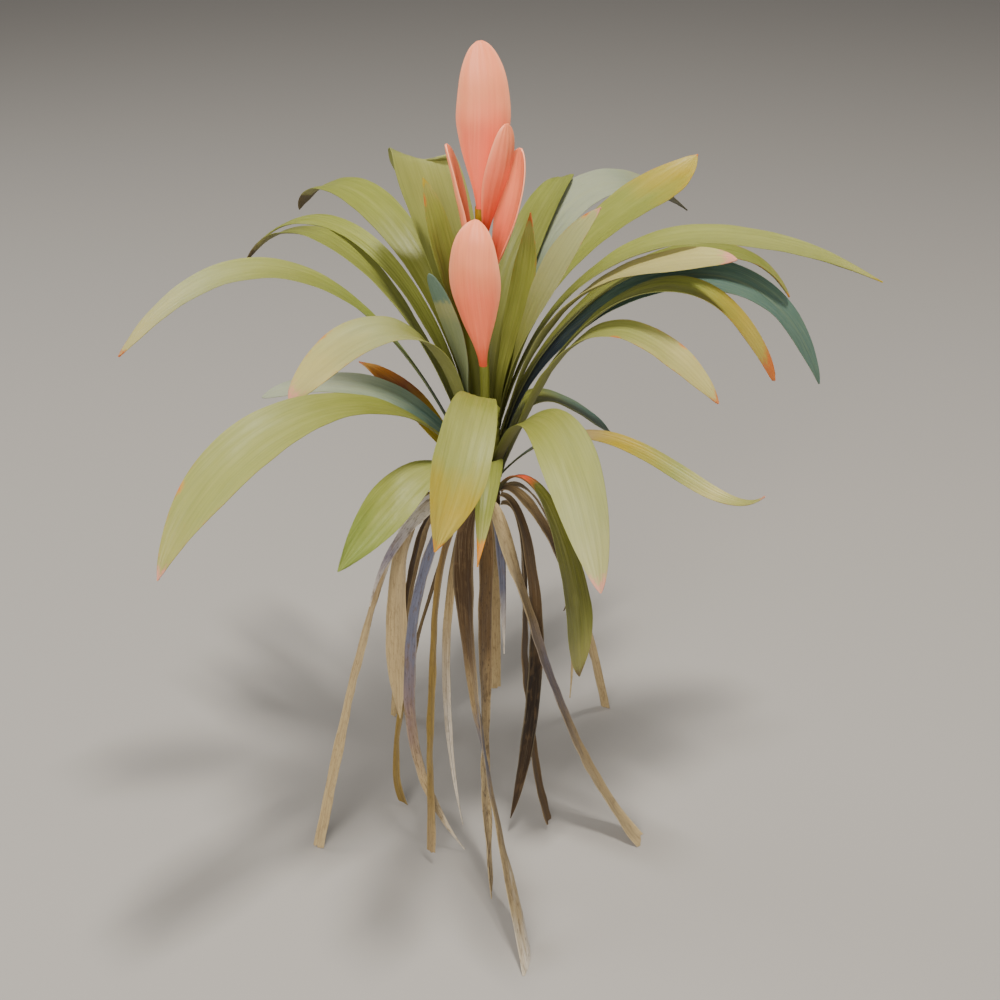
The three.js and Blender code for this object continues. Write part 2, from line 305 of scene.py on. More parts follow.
class Shader:
    """A material that is built up node by node."""

    MIX_FACTOR = 0
    MIX_FIRST = 6
    MIX_SECOND = 7
    MIX_RESULT = 2
    NOISE_ROUGHNESS = 0.6

    def __init__(self, name: str) -> None:
        """Makes an empty material with that name."""
        self.material = bpy.data.materials.new(name)
        self.material.use_nodes = True
        self.tree = self.material.node_tree
        self.tree.nodes.clear()

    def node(
        self, kind: str, settings: Mapping[str, Any] | None = None, sockets: Mapping[Any, Any] | None = None
    ) -> bpy.types.Node:
        """Adds any node.

        Args:
            kind: The node's type.
            settings: Its settings, and for a ramp its stops as (place, colour).
            sockets: Numbers, colours or links by the name or index of its inputs.

        Returns:
            The node.
        """
        made = self.tree.nodes.new(kind)
        for name, setting in (settings or {}).items():
            if name == "stops":
                self._set_stops(made.color_ramp, setting)
            else:
                setattr(made, name, setting)
        for name, given in (sockets or {}).items():
            source = given.socket if isinstance(given, Value) else given
            if isinstance(source, bpy.types.NodeSocket):
                self.tree.links.new(source, made.inputs[name])
            else:
                made.inputs[name].default_value = source
        return made

    @staticmethod
    def _set_stops(ramp: bpy.types.ColorRamp, stops: Sequence[tuple[float, Colour]]) -> None:
        """Gives a ramp its stops, in place of its own two.

        Args:
            ramp: The ramp.
            stops: Its stops as (place, colour).
        """
        while len(ramp.elements) < len(stops):
            ramp.elements.new(1.0)
        for element, (place, colour) in zip(ramp.elements, stops):
            element.position = place
            element.color = colour

    def attribute(self, name: str) -> bpy.types.NodeSocket:
        """The vector that the mesh keeps under a name."""
        return self.node("ShaderNodeAttribute", {"attribute_name": name}).outputs["Vector"]

    def split(self, vector: bpy.types.NodeSocket) -> tuple[Value, Value, Value]:
        """The three numbers of a vector."""
        made = self.node("ShaderNodeSeparateXYZ", None, {"Vector": vector})
        return tuple(Value(self, socket) for socket in made.outputs)

    def noise(self, vector: bpy.types.NodeSocket, kind: Noise) -> Value:
        """Cloudy variation.

        Args:
            vector: Where the surface is.
            kind: The size of its clouds.

        Returns:
            A number round 0.5.
        """
        place = self.node("ShaderNodeVectorMath", {"operation": "MULTIPLY"}, {0: vector, 1: kind.stretch})
        sockets = {"Scale": 1.0, "Detail": kind.detail, "Roughness": self.NOISE_ROUGHNESS}
        made = self.node("ShaderNodeTexNoise", None, {"Vector": place.outputs[0], **sockets})
        return Value(self, made.outputs[0])

    def ramp(self, value: Value, stops: Sequence[tuple[float, Colour]]) -> bpy.types.NodeSocket:
        """The colour that a number picks between the stops."""
        return self.node("ShaderNodeValToRGB", {"stops": stops}, {0: value}).outputs["Color"]

    def mix(self, factor: Any, first: Any, second: Any, blend: str = "MIX") -> bpy.types.NodeSocket:
        """Mixes two colours.

        Args:
            factor: The share of the second colour.
            first: The first colour.
            second: The second colour.
            blend: How the second is laid over the first.

        Returns:
            The mixed colour.
        """
        made = self.node(
            "ShaderNodeMix",
            {"data_type": "RGBA", "blend_type": blend},
            {self.MIX_FACTOR: factor, self.MIX_FIRST: first, self.MIX_SECOND: second},
        )
        return made.outputs[self.MIX_RESULT]

    def lay(self, colour: Any, layer: Layer, mask: Value, share: Any = 1) -> bpy.types.NodeSocket:
        """Lays a layer over a colour.

        Args:
            colour: The colour below.
            layer: The layer.
            mask: The number that says where it lies.
            share: How strong it is here, from 0 to 1.

        Returns:
            The colour with the layer on it.
        """
        return self.mix(mask.step(*layer.span) * share * layer.cover, colour, layer.colour, layer.blend)

    def surface(
        self, colour: Any, roughness: Any, height: Value | None, depth: float, fixed: Mapping[str, Any]
    ) -> bpy.types.Material:
        """Ends the material with its surface.

        Args:
            colour: The base colour.
            roughness: The roughness.
            height: The fine relief from 0 to 1, or None.
            depth: The relief's real depth in millimetres.
            fixed: Numbers and colours that are the same all over.

        Returns:
            The material.
        """
        sockets = {"Base Color": colour, "Roughness": roughness, **fixed}
        if height is not None:
            bump = {"Strength": 1.0, "Distance": depth / METRE, "Height": height}
            sockets["Normal"] = self.node("ShaderNodeBump", None, bump).outputs["Normal"]
        shaded = self.node("ShaderNodeBsdfPrincipled", None, sockets)
        self.node("ShaderNodeOutputMaterial", None, {"Surface": shaded.outputs[0]})
        return self.material


@dataclass(frozen=True)
class Paint:
    """How one blade is coloured.

    tones run from the foot to the tip. tip is the colour of the last tip_share of the length. scorch is how
    much rust there is along the edges near the tip. spots are rusty patches as (share of the length, place
    across from -1 to 1, radius). mottle is the strength of brown specks.
    """

    tones: tuple[Tone, ...]
    tip: Tone | None = None
    tip_share: float = 0.06
    scorch: float = 0.0
    spots: tuple[tuple[float, float, float], ...] = ()
    mottle: float = 0.3

    def stops(self, inset: float = 0.0) -> list[tuple[float, Colour]]:
        """The tones as the stops of a ramp, evenly spaced between two insets."""
        last = len(self.tones) - 1
        return [(inset + (1 - 2 * inset) * i / last, tone.linear) for i, tone in enumerate(self.tones)]


@dataclass(frozen=True)
class Blade:
    """One leaf, bract or dry leaf.

    rise, fall and tip are points of the upright plane of its heading as (distance from the axis, height),
    and foot is the height where it leaves the axis. seat turns the foot round the axis, sway bows the blade
    to its left, and roll turns it about its own line, from the first angle to the second. The blade widens
    until swell and closes from taper, and it parts in two from split, all shares of its length. Its end is
    the rounder, the smaller blunt is. cup is half the angle of the arc across it, at the foot and at the
    tip.
    """

    name: str
    heading: float
    foot: float
    rise: Pair
    fall: Pair
    tip: Pair
    width: float
    paint: Paint
    seat: float = 0.0
    sway: float = 0.0
    roll: Pair = (0.0, 0.0)
    cup: Pair | None = None
    cut: bool = False
    blunt: float | None = None
    swell: float | None = None
    taper: float | None = None
    split: float | None = None
    slot: Slot | None = None


@dataclass(frozen=True)
class Section:
    """What all blades of one kind share: their section, outline, relief and mesh."""

    reach: float
    thickness: float
    margin: float
    foot: float
    tip: float
    swell: float
    taper: float
    rows: int
    columns: int
    blunt: float = 1.0
    cup: Pair = (0.35, 0.25)
    ribs: int = 6
    rib_depth: float = 0.1
    midrib: float = 0.3
    ripple: float = 0.8
    pucker: float = 0.2
    ragged: float = 0.01
    fray: float = 0.0


class BladeForm:
    """The closed mesh of one blade: a strip along a curve that opens towards its upper face.

    ROLLED, GROWN and CUT_GROWN are the shares of the length over which the roll, the relief and the cut end
    set in. CROWDING draws the rows towards the tip. GAP and PARTING are the slit of a split blade and how
    far its halves part, as places across. The waves are in millimetres from crest to crest.
    """

    FACES = (1, -1)
    CROWDING = 0.6
    ROLLED = (0, 0.35)
    GROWN = (0.08, 0.35)
    CUT_GROWN = (0.85, 1)
    GAP = 0.03
    PARTING = 0.11

    EDGE_WAVE = 70
    EDGE_STRETCH = 35
    OUTLINE_WAVE = 26
    PUCKER_WAVE = 22
    PUCKER_STRETCH = 1.6
    FRAY_WAVE = 3.2
    MIDRIB_WIDTH = 0.1
    MIDRIB_FADE = 0.7
    FULL_RELIEF_WIDTH = 8

    SPOT_LEVEL = 0.03
    SPOT_STRETCH = 0.6
    SEEDS = 500

    def __init__(self, blade: Blade, section: Section, centre: Pair = (0.0, 0.0)) -> None:
        """Works out the blade's lines.

        Args:
            blade: The blade's own sizes.
            section: The sizes of its kind.
            centre: Where its axis stands.
        """
        self.blade = blade
        self.section = section
        self.centre = np.array([*centre, 0.0])
        self.edge_waves = Wobble(blade.name + " edge", self.EDGE_WAVE)
        self.outline_waves = Wobble(blade.name + " outline", self.OUTLINE_WAVE)
        self.puckers = Wobble(blade.name + " pucker", self.PUCKER_WAVE)
        self.frays = Wobble(blade.name + " fray", self.FRAY_WAVE)
        self.seed = random.Random(blade.name).uniform(0, self.SEEDS)

    def controls(self) -> Array:
        """The centre line's control points.

        Returns:
            Four points.
        """
        blade = self.blade
        turned = blade.heading + blade.seat
        points = [
            polar(self.section.reach, turned, blade.foot),
            polar(blade.rise[0], turned, blade.rise[1]),
            polar(blade.fall[0], blade.heading, blade.fall[1]) + blade.sway * sideways(blade.heading),
            polar(blade.tip[0], blade.heading, blade.tip[1]),
        ]
        return np.array(points) + self.centre

    def line(self, t: Array) -> tuple[Array, Array]:
        """The centre line.

        Args:
            t: Shares of the curve.

        Returns:
            Its points and its unit directions.
        """
        start, lift, drop, end = self.controls()
        t = t[:, None]
        rest = 1 - t
        points = rest**3 * start + 3 * rest**2 * t * lift + 3 * rest * t**2 * drop + t**3 * end
        slope = rest**2 * (lift - start) + 2 * rest * t * (drop - lift) + t**2 * (end - drop)
        return points, unit(slope)

    def widths(self, t: Array) -> Array:
        """The width along the blade: a narrow foot, a swelling middle and a closing tip.

        Args:
            t: Shares of the curve.

        Returns:
            The width at each.
        """
        blade, section = self.blade, self.section
        swell = section.swell if blade.swell is None else blade.swell
        taper = section.taper if blade.taper is None else blade.taper
        blunt = section.blunt if blade.blunt is None else blade.blunt
        width = lerp(min(section.foot, blade.width), blade.width, smooth(t, 0, swell))
        if not blade.cut:
            share = np.clip((t - taper) / (1 - taper), 0, 1)
            width = np.maximum(width * (1 - share**2) ** blunt, section.tip)
        return width

    def directions(self, t: Array, along: Array) -> tuple[Array, Array]:
        """The blade's other two directions, with its roll.

        Args:
            t: Shares of the curve.
            along: The unit directions of the centre line there.

        Returns:
            The unit directions across the blade and out of its upper face.
        """
        blade = self.blade
        across = sideways(blade.heading + blade.seat * (1 - t) ** 2)
        across = unit(across - along * np.sum(across * along, axis=1, keepdims=True))
        turn = np.radians(lerp(*blade.roll, t) * smooth(t, *self.ROLLED))[:, None]
        across = across * np.cos(turn) + np.cross(along, across) * np.sin(turn)
        return across, np.cross(along, across)

    def relief(self, t: Array, s: Array, run: Array, width: Array) -> Array:
        """How far the skin stands out from the plain arc: ribs, midrib, puckers and waved edges.

        Args:
            t: The share of the curve of each row.
            s: The place across of each row and column.
            run: The millimetres along of each row.
            width: The blade's width at each row.

        Returns:
            Millimetres at each row and column.
        """
        section = self.section
        side = np.minimum(np.abs(s), 1)
        millimetres = s * width[:, None] / 2
        height = section.rib_depth * np.cos(s * math.pi * section.ribs) * (1 - side**4)
        height -= (
            section.midrib * np.exp(-((s / self.MIDRIB_WIDTH) ** 2)) * (1 - self.MIDRIB_FADE * t[:, None])
        )
        height += section.pucker * self.puckers.at(run[:, None], millimetres * self.PUCKER_STRETCH)
        height += section.ripple * s * side * self.edge_waves.at(run[:, None], s * self.EDGE_STRETCH)
        strength = smooth(t, *self.GROWN)[:, None] * np.minimum(1, width / self.FULL_RELIEF_WIDTH)[:, None]
        return height * strength

    def grid(self, left: float, right: float, columns: int) -> tuple[Array, Array, Array]:
        """The points of one strip on both faces.

        Args:
            left: Where the strip begins across the blade, from -1.
            right: Where it ends, to 1.
            columns: How many columns of faces it has.

        Returns:
            Its points, its places (share along, place across, 1 on the upper face) and its millimetres along
            and across, each as (face, row, column, 3).
        """
        blade, section = self.blade, self.section
        u = np.linspace(0, 1, section.rows + 1)
        t = lerp(u, np.sin(u * math.pi / 2), self.CROWDING)
        points, along = self.line(t)
        across, upward = self.directions(t, along)
        run = np.concatenate([[0], np.cumsum(np.linalg.norm(np.diff(points, axis=0), axis=1))])
        uneven = 1 + section.ragged * smooth(t, *self.GROWN) * self.outline_waves.at(run)
        width = self.widths(t) * uneven
        half = lerp(*(blade.cup or section.cup), t)
        bend = (width / (2 * half))[:, None]

        s = np.repeat(np.linspace(left, right, columns + 1)[None, :], len(t), axis=0)
        if blade.split is not None:
            s += math.copysign(self.PARTING, left) * smooth(t, blade.split, 1)[:, None]
        angle = half[:, None] * s
        millimetres = s * width[:, None] / 2
        side = np.minimum(np.abs(s), 1)
        thick = section.margin + (section.thickness - section.margin) * (1 - side**6)
        relief = self.relief(t, s, run, width)

        layers = []
        for face in self.FACES:
            reach = bend - face * thick / 2 - relief
            layer = (
                points[:, None, :]
                + across[:, None, :] * (reach * np.sin(angle))[..., None]
                + upward[:, None, :] * (bend - reach * np.cos(angle))[..., None]
            )
            if blade.cut:
                longer = (blade.tip[1] - layer[-1, :, 2]) / along[-1, 2]
                longer -= section.fray * np.abs(self.frays.at(millimetres[-1]))
                layer += (smooth(t, *self.CUT_GROWN)[:, None] * longer)[..., None] * along[:, None, :]
            layers.append(layer)
        shares, runs = (np.repeat(rows[:, None], columns + 1, 1) for rows in (t, run))
        places = [np.stack([shares, s, np.full_like(s, (face + 1) / 2)], axis=-1) for face in self.FACES]
        grain = np.stack([millimetres, runs, np.full_like(s, self.seed)], axis=-1)
        return np.array(layers), np.array(places), np.array([grain, grain])

    @staticmethod
    def faces(rows: int, columns: int, first: int) -> list[tuple[int, int, int, int]]:
        """The faces of a closed strip.

        Args:
            rows: Its rows of faces.
            columns: Its columns of faces.
            first: The index of its first point.

        Returns:
            The points of each face.
        """
        row = columns + 1
        layer = row * (rows + 1)
        found = []
        for i in range(rows):
            for j in range(columns):
                a = first + i * row + j
                b = a + layer
                found.append((a, a + row, a + row + 1, a + 1))
                found.append((b, b + 1, b + row + 1, b + row))
            a, b = first + i * row, first + i * row + columns
            found.append((a, a + layer, a + layer + row, a + row))
            found.append((b, b + row, b + layer + row, b + layer))
        for j in range(columns):
            a, b = first + j, first + rows * row + j
            found.append((a, a + 1, a + layer + 1, a + layer))
            found.append((b, b + layer, b + layer + 1, b + 1))
        return found

    def build(self, origin: Array) -> bpy.types.Object:
        """Makes the blade.

        Args:
            origin: Where the plant's axis meets the surface, in millimetres.

        Returns:
            The mesh object, with its places and millimetres kept for the finish.
        """
        columns = self.section.columns
        strips = [(-1.0, 1.0, columns)]
        if self.blade.split is not None:
            strips = [(-1.0, -self.GAP, columns // 2), (self.GAP, 1.0, columns // 2)]
        points, places, grains, faces = [], [], [], []
        count = 0
        for left, right, wide in strips:
            made = self.grid(left, right, wide)
            faces += self.faces(self.section.rows, wide, count)
            for kept, grid in zip((points, places, grains), made):
                kept.append(grid.reshape(-1, 3))
            count += len(points[-1])
        fields = {"place": np.concatenate(places), "grain": np.concatenate(grains)}
        fields["rust"] = self.rust(fields["place"], fields["grain"])
        return make_mesh(f"{self.blade.name}_fine", np.concatenate(points) + origin, faces, fields)

    def rust(self, places: Array, grains: Array) -> Array:
        """How rusty each point is from the blade's spots.

        Args:
            places: The share along and the place across of each point.
            grains: The millimetres across and along of each point.

        Returns:
            The rust as the first of three numbers at each point.
        """
        mask = np.zeros(len(places))
        for along, across, radius in self.blade.paint.spots:
            level = np.abs(places[:, 0] - along) < self.SPOT_LEVEL
            wide = np.abs(grains[level, 0]).max()
            middle = grains[level, 1].mean()
            distance = np.hypot(grains[:, 0] - across * wide, (grains[:, 1] - middle) * self.SPOT_STRETCH)
            mask = np.maximum(mask, np.exp(-((distance / radius) ** 2)))
        return np.stack([mask, np.zeros_like(mask), np.zeros_like(mask)], axis=-1)


def make_mesh(
    name: str, points: Array, faces: Sequence[Sequence[int]], fields: Mapping[str, Array]
) -> bpy.types.Object:
    """Makes a smooth mesh object.

    Args:
        name: The object's name.
        points: Its points in millimetres.
        faces: The points of each face.
        fields: Vectors to keep at each point, by name.

    Returns:
        The object, in metres.
    """
    mesh = bpy.data.meshes.new(name)
    mesh.from_pydata((points / METRE).tolist(), [], faces)
    for field_name, vectors in fields.items():
        kept = mesh.attributes.new(field_name, "FLOAT_VECTOR", "POINT")
        kept.data.foreach_set("vector", vectors.astype(np.float32).ravel())
    mesh.shade_smooth()
    mesh.set_sharp_from_angle(angle=math.radians(SHARP_DEGREES))
    mesh.update()
    made = bpy.data.objects.new(name, mesh)
    bpy.context.scene.collection.objects.link(made)
    return made


def place_piece(made: bpy.types.Object, material: bpy.types.Material, slot: Slot, node: str) -> None:
    """Dresses a piece, lets it ride on the plant and puts it in its node's place.

    Args:
        made: The piece.
        material: Its material.
        slot: The record's slot of the piece, which is only written to the log.
        node: The node that it stands for.
    """
    made.data.materials.append(material)
    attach(made, BODY)
    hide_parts(node)
    LOG.info("%s: %d faces, %s", made.name, len(made.data.polygons), slot.value)


@dataclass(frozen=True)
class LeafFinish:
    """A living leaf: a waxy skin with fine lines along it, a dull, powdery underside and painted shade.

    inset keeps the tones off the foot and the tip, and drift is how far clouds shift them along the leaf.
    Where a mask isn't one of the layers' own, its strongest share is named by a cover.
    """

    roughness: float = 0.5
    under_roughness: float = 0.15
    fleck_roughness: float = 0.2
    relief: float = 0.12
    line: Noise = Noise((1.4, 0.025, 1.0), 3)
    cloud: Noise = Noise((0.07, 0.03, 1.0), 2)
    fleck: Noise = Noise((0.55, 0.4, 1.0), 4)
    inset: float = 0.08
    drift: float = 0.24
    rib: Layer = Layer(linear(156, 154, 104), (0.35, 0.75), 0.16)
    groove: Layer = Layer(linear(150, 150, 140), (0.4, 0.8), 0.2, "MULTIPLY")
    midrib_width: float = 0.12
    midrib_cover: float = 0.12
    # The underside's colour is greyer for its powdery bloom and darker as painted shade.
    under: Colour = linear(92, 94, 54)
    powdery_shaded_underside_cover: float = 0.55
    # Painted shade: each leaf is darkened towards its foot, deep in the rosette.
    painted_base_shade: Colour = linear(118, 112, 74)
    painted_base_shade_span: Pair = (0.02, 0.28)
    painted_base_shade_cover: float = 0.7
    speck: Layer = Layer(Tone.OCHRE.linear, (0.6, 0.72), 0.35)
    burnt_side: Pair = (0.82, 1.0)
    burnt_length: Pair = (0.55, 0.95)
    burnt: Layer = Layer(Tone.RUST.linear, (0.45, 0.65))
    tip_fade: float = 0.12
    tip_fade_cover: float = 0.3
    tip_edge: float = 0.03
    tip_cover: float = 0.85
    tip_uneven: float = 0.06
    tip_curve: float = 0.012
    halo: Layer = Layer(Tone.ORANGE.linear, (0.3, 0.7), 0.45)
    halo_uneven: float = 0.5
    core: Layer = Layer(Tone.RUST.linear, (0.6, 0.95), 0.7)
    core_uneven: float = 0.6

    def dress(self, name: str, paint: Paint) -> bpy.types.Material:
        """Makes the material of one leaf.

        Args:
            name: The material's name.
            paint: The leaf's colours.

        Returns:
            The material.
        """
        shader = Shader(name)
        along, across, upper = shader.split(shader.attribute("place"))
        grain = shader.attribute("grain")
        line, cloud, fleck = (shader.noise(grain, kind) for kind in (self.line, self.cloud, self.fleck))
        side = abs(across)

        colour = shader.ramp(along + (cloud - NOISE_MEAN) * self.drift, paint.stops(self.inset))
        colour = shader.lay(colour, self.rib, line)
        colour = shader.lay(colour, self.groove, 1 - line)
        middle = (1 - side.step(0.0, self.midrib_width)) * self.midrib_cover
        colour = shader.mix(middle, colour, self.rib.colour)
        # The underside turns greyer for its bloom and darker with painted shade.
        colour = shader.mix((1 - upper) * self.powdery_shaded_underside_cover, colour, self.under)
        # Painted shade darkens each leaf towards its foot.
        shaded = (1 - along.step(*self.painted_base_shade_span)) * self.painted_base_shade_cover
        colour = shader.mix(shaded, colour, self.painted_base_shade, "MULTIPLY")
        colour = shader.lay(colour, self.speck, fleck, paint.mottle)
        where = side.step(*self.burnt_side) * along.step(*self.burnt_length) * paint.scorch
        colour = shader.lay(colour, self.burnt, fleck, where)
        if paint.tip is not None:
            uneven = along + (fleck - NOISE_MEAN) * self.tip_uneven
            colour = self.end(shader, colour, uneven, side, paint)
        if paint.spots:
            rust, *_ = shader.split(shader.attribute("rust"))
            colour = shader.lay(colour, self.halo, rust + (fleck - NOISE_MEAN) * self.halo_uneven)
            colour = shader.lay(colour, self.core, rust + (fleck - NOISE_MEAN) * self.core_uneven)
        roughness = self.roughness + (1 - upper) * self.under_roughness
        roughness = roughness + (fleck - NOISE_MEAN) * self.fleck_roughness
        fixed = {
            "Subsurface Weight": 0.18,
            "Subsurface Radius": (0.9, 1.0, 0.35),
            "Subsurface Scale": 0.0016,
            "Specular IOR Level": 0.35,
        }
        height = line * LINE_RELIEF + fleck * FLECK_RELIEF
        return shader.surface(colour, roughness, height, self.relief, fixed)

    def end(self, shader: Shader, colour: Any, along: Value, side: Value, paint: Paint) -> Any:
        """Colours the leaf's tip.

        Args:
            shader: The leaf's material.
            colour: The leaf's colour so far.
            along: The share of the length, a little uneven.
            side: How far off the middle it is, to 1.
            paint: The leaf's colours.

        Returns:
            The colour with the tip.
        """
        start = 1 - paint.tip_share
        edge = along + side * self.tip_curve
        faded = edge.step(start - self.tip_fade, start) * self.tip_fade_cover
        colour = shader.mix(faded, colour, Tone.CREAM.linear)
        dry = edge.step(start, start + self.tip_edge) * self.tip_cover
        return shader.mix(dry, colour, paint.tip.linear)


@dataclass(frozen=True)
class BractFinish:
    """A coral bract: satin, paler at its edges, with fine veins that run to the tip.

    drift is how far clouds shift the tones along the bract, and bow how much the edges run ahead of them.
    """

    roughness: float = 0.42
    cloud_roughness: float = 0.2
    fine_roughness: float = 0.1
    relief: float = 0.1
    line: Noise = Noise((1.1, 0.03, 1.0), 3)
    cloud: Noise = Noise((0.09, 0.05, 1.0), 3)
    fine: Noise = Noise((1.5, 1.2, 1.0), 3)
    drift: float = 0.22
    bow: float = 0.05
    vein: Layer = Layer(linear(216, 112, 90), (0.42, 0.75), 0.22)
    upper_cover: float = 0.12
    light_line: Layer = Layer(linear(255, 186, 152), (0.5, 0.8), 0.14)
    margin: Layer = Layer(linear(255, 186, 152), (0.7, 1.0), 0.3)

    def dress(self, name: str, paint: Paint) -> bpy.types.Material:
        """Makes the material of one bract.

        Args:
            name: The material's name.
            paint: The bract's colours.

        Returns:
            The material.
        """
        shader = Shader(name)
        along, across, upper = shader.split(shader.attribute("place"))
        grain = shader.attribute("grain")
        line, cloud, fine = (shader.noise(grain, kind) for kind in (self.line, self.cloud, self.fine))
        side = abs(across)

        colour = shader.ramp(along + (cloud - NOISE_MEAN) * self.drift + side * self.bow, paint.stops())
        colour = shader.lay(colour, self.vein, 1 - line)
        colour = shader.lay(colour, self.light_line, line)
        colour = shader.lay(colour, self.margin, side)
        colour = shader.mix(upper * self.upper_cover, colour, self.vein.colour)
        roughness = self.roughness + (cloud - NOISE_MEAN) * self.cloud_roughness
        roughness = roughness + (fine - NOISE_MEAN) * self.fine_roughness
        fixed = {
            "Subsurface Weight": 0.14,
            "Subsurface Radius": (1.0, 0.45, 0.3),
            "Subsurface Scale": 0.002,
            "Specular IOR Level": 0.4,
        }
        height = line * LINE_RELIEF + fine * FLECK_RELIEF
        return shader.surface(colour, roughness, height, self.relief, fixed)


@dataclass(frozen=True)
class DryFinish:
    """A dead leaf: fibrous and matt, bleached to straw in places and rotted brown in others.

    drift is how far clouds shift the tones along the leaf.
    """

    roughness: float = 0.82
    smoother_fibre: float = 0.12
    relief: float = 0.25
    fibre: Noise = Noise((2.6, 0.035, 1.0), 4)
    cloud: Noise = Noise((0.14, 0.035, 1.0), 3)
    fleck: Noise = Noise((0.9, 0.28, 1.0), 5)
    patch: Noise = Noise((0.3, 0.11, 1.0), 4)
    drift: float = 0.22
    dark_fibre: Layer = Layer(linear(128, 108, 80), (0.4, 0.75), 0.55, "MULTIPLY")
    light_fibre: Layer = Layer(linear(184, 170, 138), (0.55, 0.8), 0.3)
    stain: Layer = Layer(linear(92, 74, 52), (0.52, 0.66), 0.9)
    speck: Layer = Layer(linear(54, 39, 26), (0.54, 0.68))
    edge: Layer = Layer(linear(184, 170, 138), (0.8, 1.0), 0.18)

    def dress(self, name: str, paint: Paint) -> bpy.types.Material:
        """Makes the material of one dry leaf.

        Args:
            name: The material's name.
            paint: The leaf's colours.

        Returns:
            The material.
        """
        shader = Shader(name)
        along, across, _ = shader.split(shader.attribute("place"))
        grain = shader.attribute("grain")
        kinds = (self.fibre, self.cloud, self.fleck, self.patch)
        fibre, cloud, fleck, patch = (shader.noise(grain, kind) for kind in kinds)

        colour = shader.ramp(along + (cloud - NOISE_MEAN) * self.drift, paint.stops())
        colour = shader.lay(colour, self.dark_fibre, 1 - fibre)
        colour = shader.lay(colour, self.light_fibre, fibre)
        colour = shader.lay(colour, self.stain, patch, paint.mottle)
        colour = shader.lay(colour, self.speck, fleck, paint.mottle)
        colour = shader.lay(colour, self.edge, abs(across))
        roughness = self.roughness - fibre * self.smoother_fibre
        fixed = {"Specular IOR Level": 0.2, "Sheen Weight": 0.08, "Sheen Roughness": 0.5}
        height = fibre * LINE_RELIEF + fleck * FLECK_RELIEF
        return shader.surface(colour, roughness, height, self.relief, fixed)


@dataclass(frozen=True)
class StemFinish:
    """The stem and the stalk: green at the top, corky and ringed with scars below."""

    roughness: float = 0.7
    relief: float = 0.25
    fibre: Noise = Noise((1.6, 0.12, 1.0), 4)
    cork: Noise = Noise((0.5, 0.8, 1.0), 4)
    drift: float = 0.1
    cork_patch: Layer = Layer(linear(96, 74, 46), (0.5, 0.7))
    dark_fibre: Layer = Layer(linear(96, 74, 46), (0.4, 0.8), 0.4, "MULTIPLY")

    def dress(self, name: str, paint: Paint) -> bpy.types.Material:
        """Makes the material.

        Args:
            name: The material's name.
            paint: The colours from the lower end to the upper.

        Returns:
            The material.
        """
        shader = Shader(name)
        along, *_ = shader.split(shader.attribute("place"))
        grain = shader.attribute("grain")
        fibre, cork = shader.noise(grain, self.fibre), shader.noise(grain, self.cork)
        colour = shader.ramp(along + (cork - NOISE_MEAN) * self.drift, paint.stops())
        colour = shader.lay(colour, self.cork_patch, cork, paint.mottle)
        colour = shader.lay(colour, self.dark_fibre, 1 - fibre)
        height = fibre * 0.5 + cork * 0.5
        return shader.surface(colour, self.roughness, height, self.relief, {"Specular IOR Level": 0.3})


def ring_faces(rings: int, sides: int) -> list[tuple[int, int, int, int]]:
    """The faces between rings of points that follow one another up a round shape."""
    return [
        (first + k, first + (k + 1) % sides, first + sides + (k + 1) % sides, first + sides + k)
        for first in range(0, (rings - 1) * sides, sides)
        for k in range(sides)
    ]


@dataclass
class Stem:
    """The short core that every leaf grows from, cut flat below."""

    origin: Array
    radius: float = 9.0
    bottom: float = 233.0
    shoulder: float = 299.0
    top: float = 303.0
    bevel: float = 2.0
    sides: int = 64
    rows: int = 60
    scars: int = 13
    scar_depth: float = 0.5
    scar_slant: float = 0.35
    bark_depth: float = 0.12
    bark_wave: float = 5
    grain_seed: float = 7.0
    finish: StemFinish = field(default_factory=StemFinish)
    paint: Paint = Paint((Tone.BARK, Tone.BROWN, Tone.OLIVE, Tone.LEAF), mottle=0.6)

    def outline(self) -> list[Pair]:
        """The stem's profile, from the cut end's middle to the top's middle.

        Returns:
            Its points as (radius, height).
        """
        inner, low, high = self.radius - self.bevel, self.bottom + self.bevel, self.top - self.bevel
        lower = [(0.0, self.bottom), (self.radius * 0.5, self.bottom), (inner, self.bottom)]
        wall = [(self.radius, lerp(low, self.shoulder, i / self.rows)) for i in range(self.rows + 1)]
        return lower + wall + [(inner, high), (self.radius / 2, self.top), (0.0, self.top)]

    def dent(self, share: float, angle: float, height: float, bark: Wobble) -> float:
        """How deep the wall is cut back by leaf scars and by the bark's roughness.

        Args:
            share: The share of the stem's height.
            angle: Where it is round the stem.
            height: Its height.
            bark: The bark's roughness.

        Returns:
            The depth.
        """
        ring = abs(math.sin(math.pi * (share * self.scars + self.scar_slant * math.sin(angle * 2))))
        rough = 1 + float(bark.at(self.radius * angle, height))
        return self.scar_depth * (1 - ring) ** 3 + self.bark_depth * rough

    def build(self) -> None:
        """Makes the stem and dresses it."""
        bark = Wobble("stem bark", self.bark_wave)
        profile = self.outline()
        points, places, grains = [], [], []
        for radius, height in profile:
            share = (height - self.bottom) / (self.top - self.bottom)
            for k in range(self.sides):
                angle = math.tau * k / self.sides
                kept = radius - self.dent(share, angle, height, bark) if radius == self.radius else radius
                points.append((kept * math.cos(angle), kept * math.sin(angle), height))
                places.append((share, 0.0, 1.0))
                grains.append((self.radius * angle, height + self.radius - radius, self.grain_seed))
        made = make_mesh(
            "stem_fine",
            np.array(points) + self.origin,
            ring_faces(len(profile), self.sides),
            {"place": np.array(places), "grain": np.array(grains)},
        )
        merge_close(made)
        place_piece(made, self.finish.dress("stem_bark", self.paint), Slot.STEM, "stem")


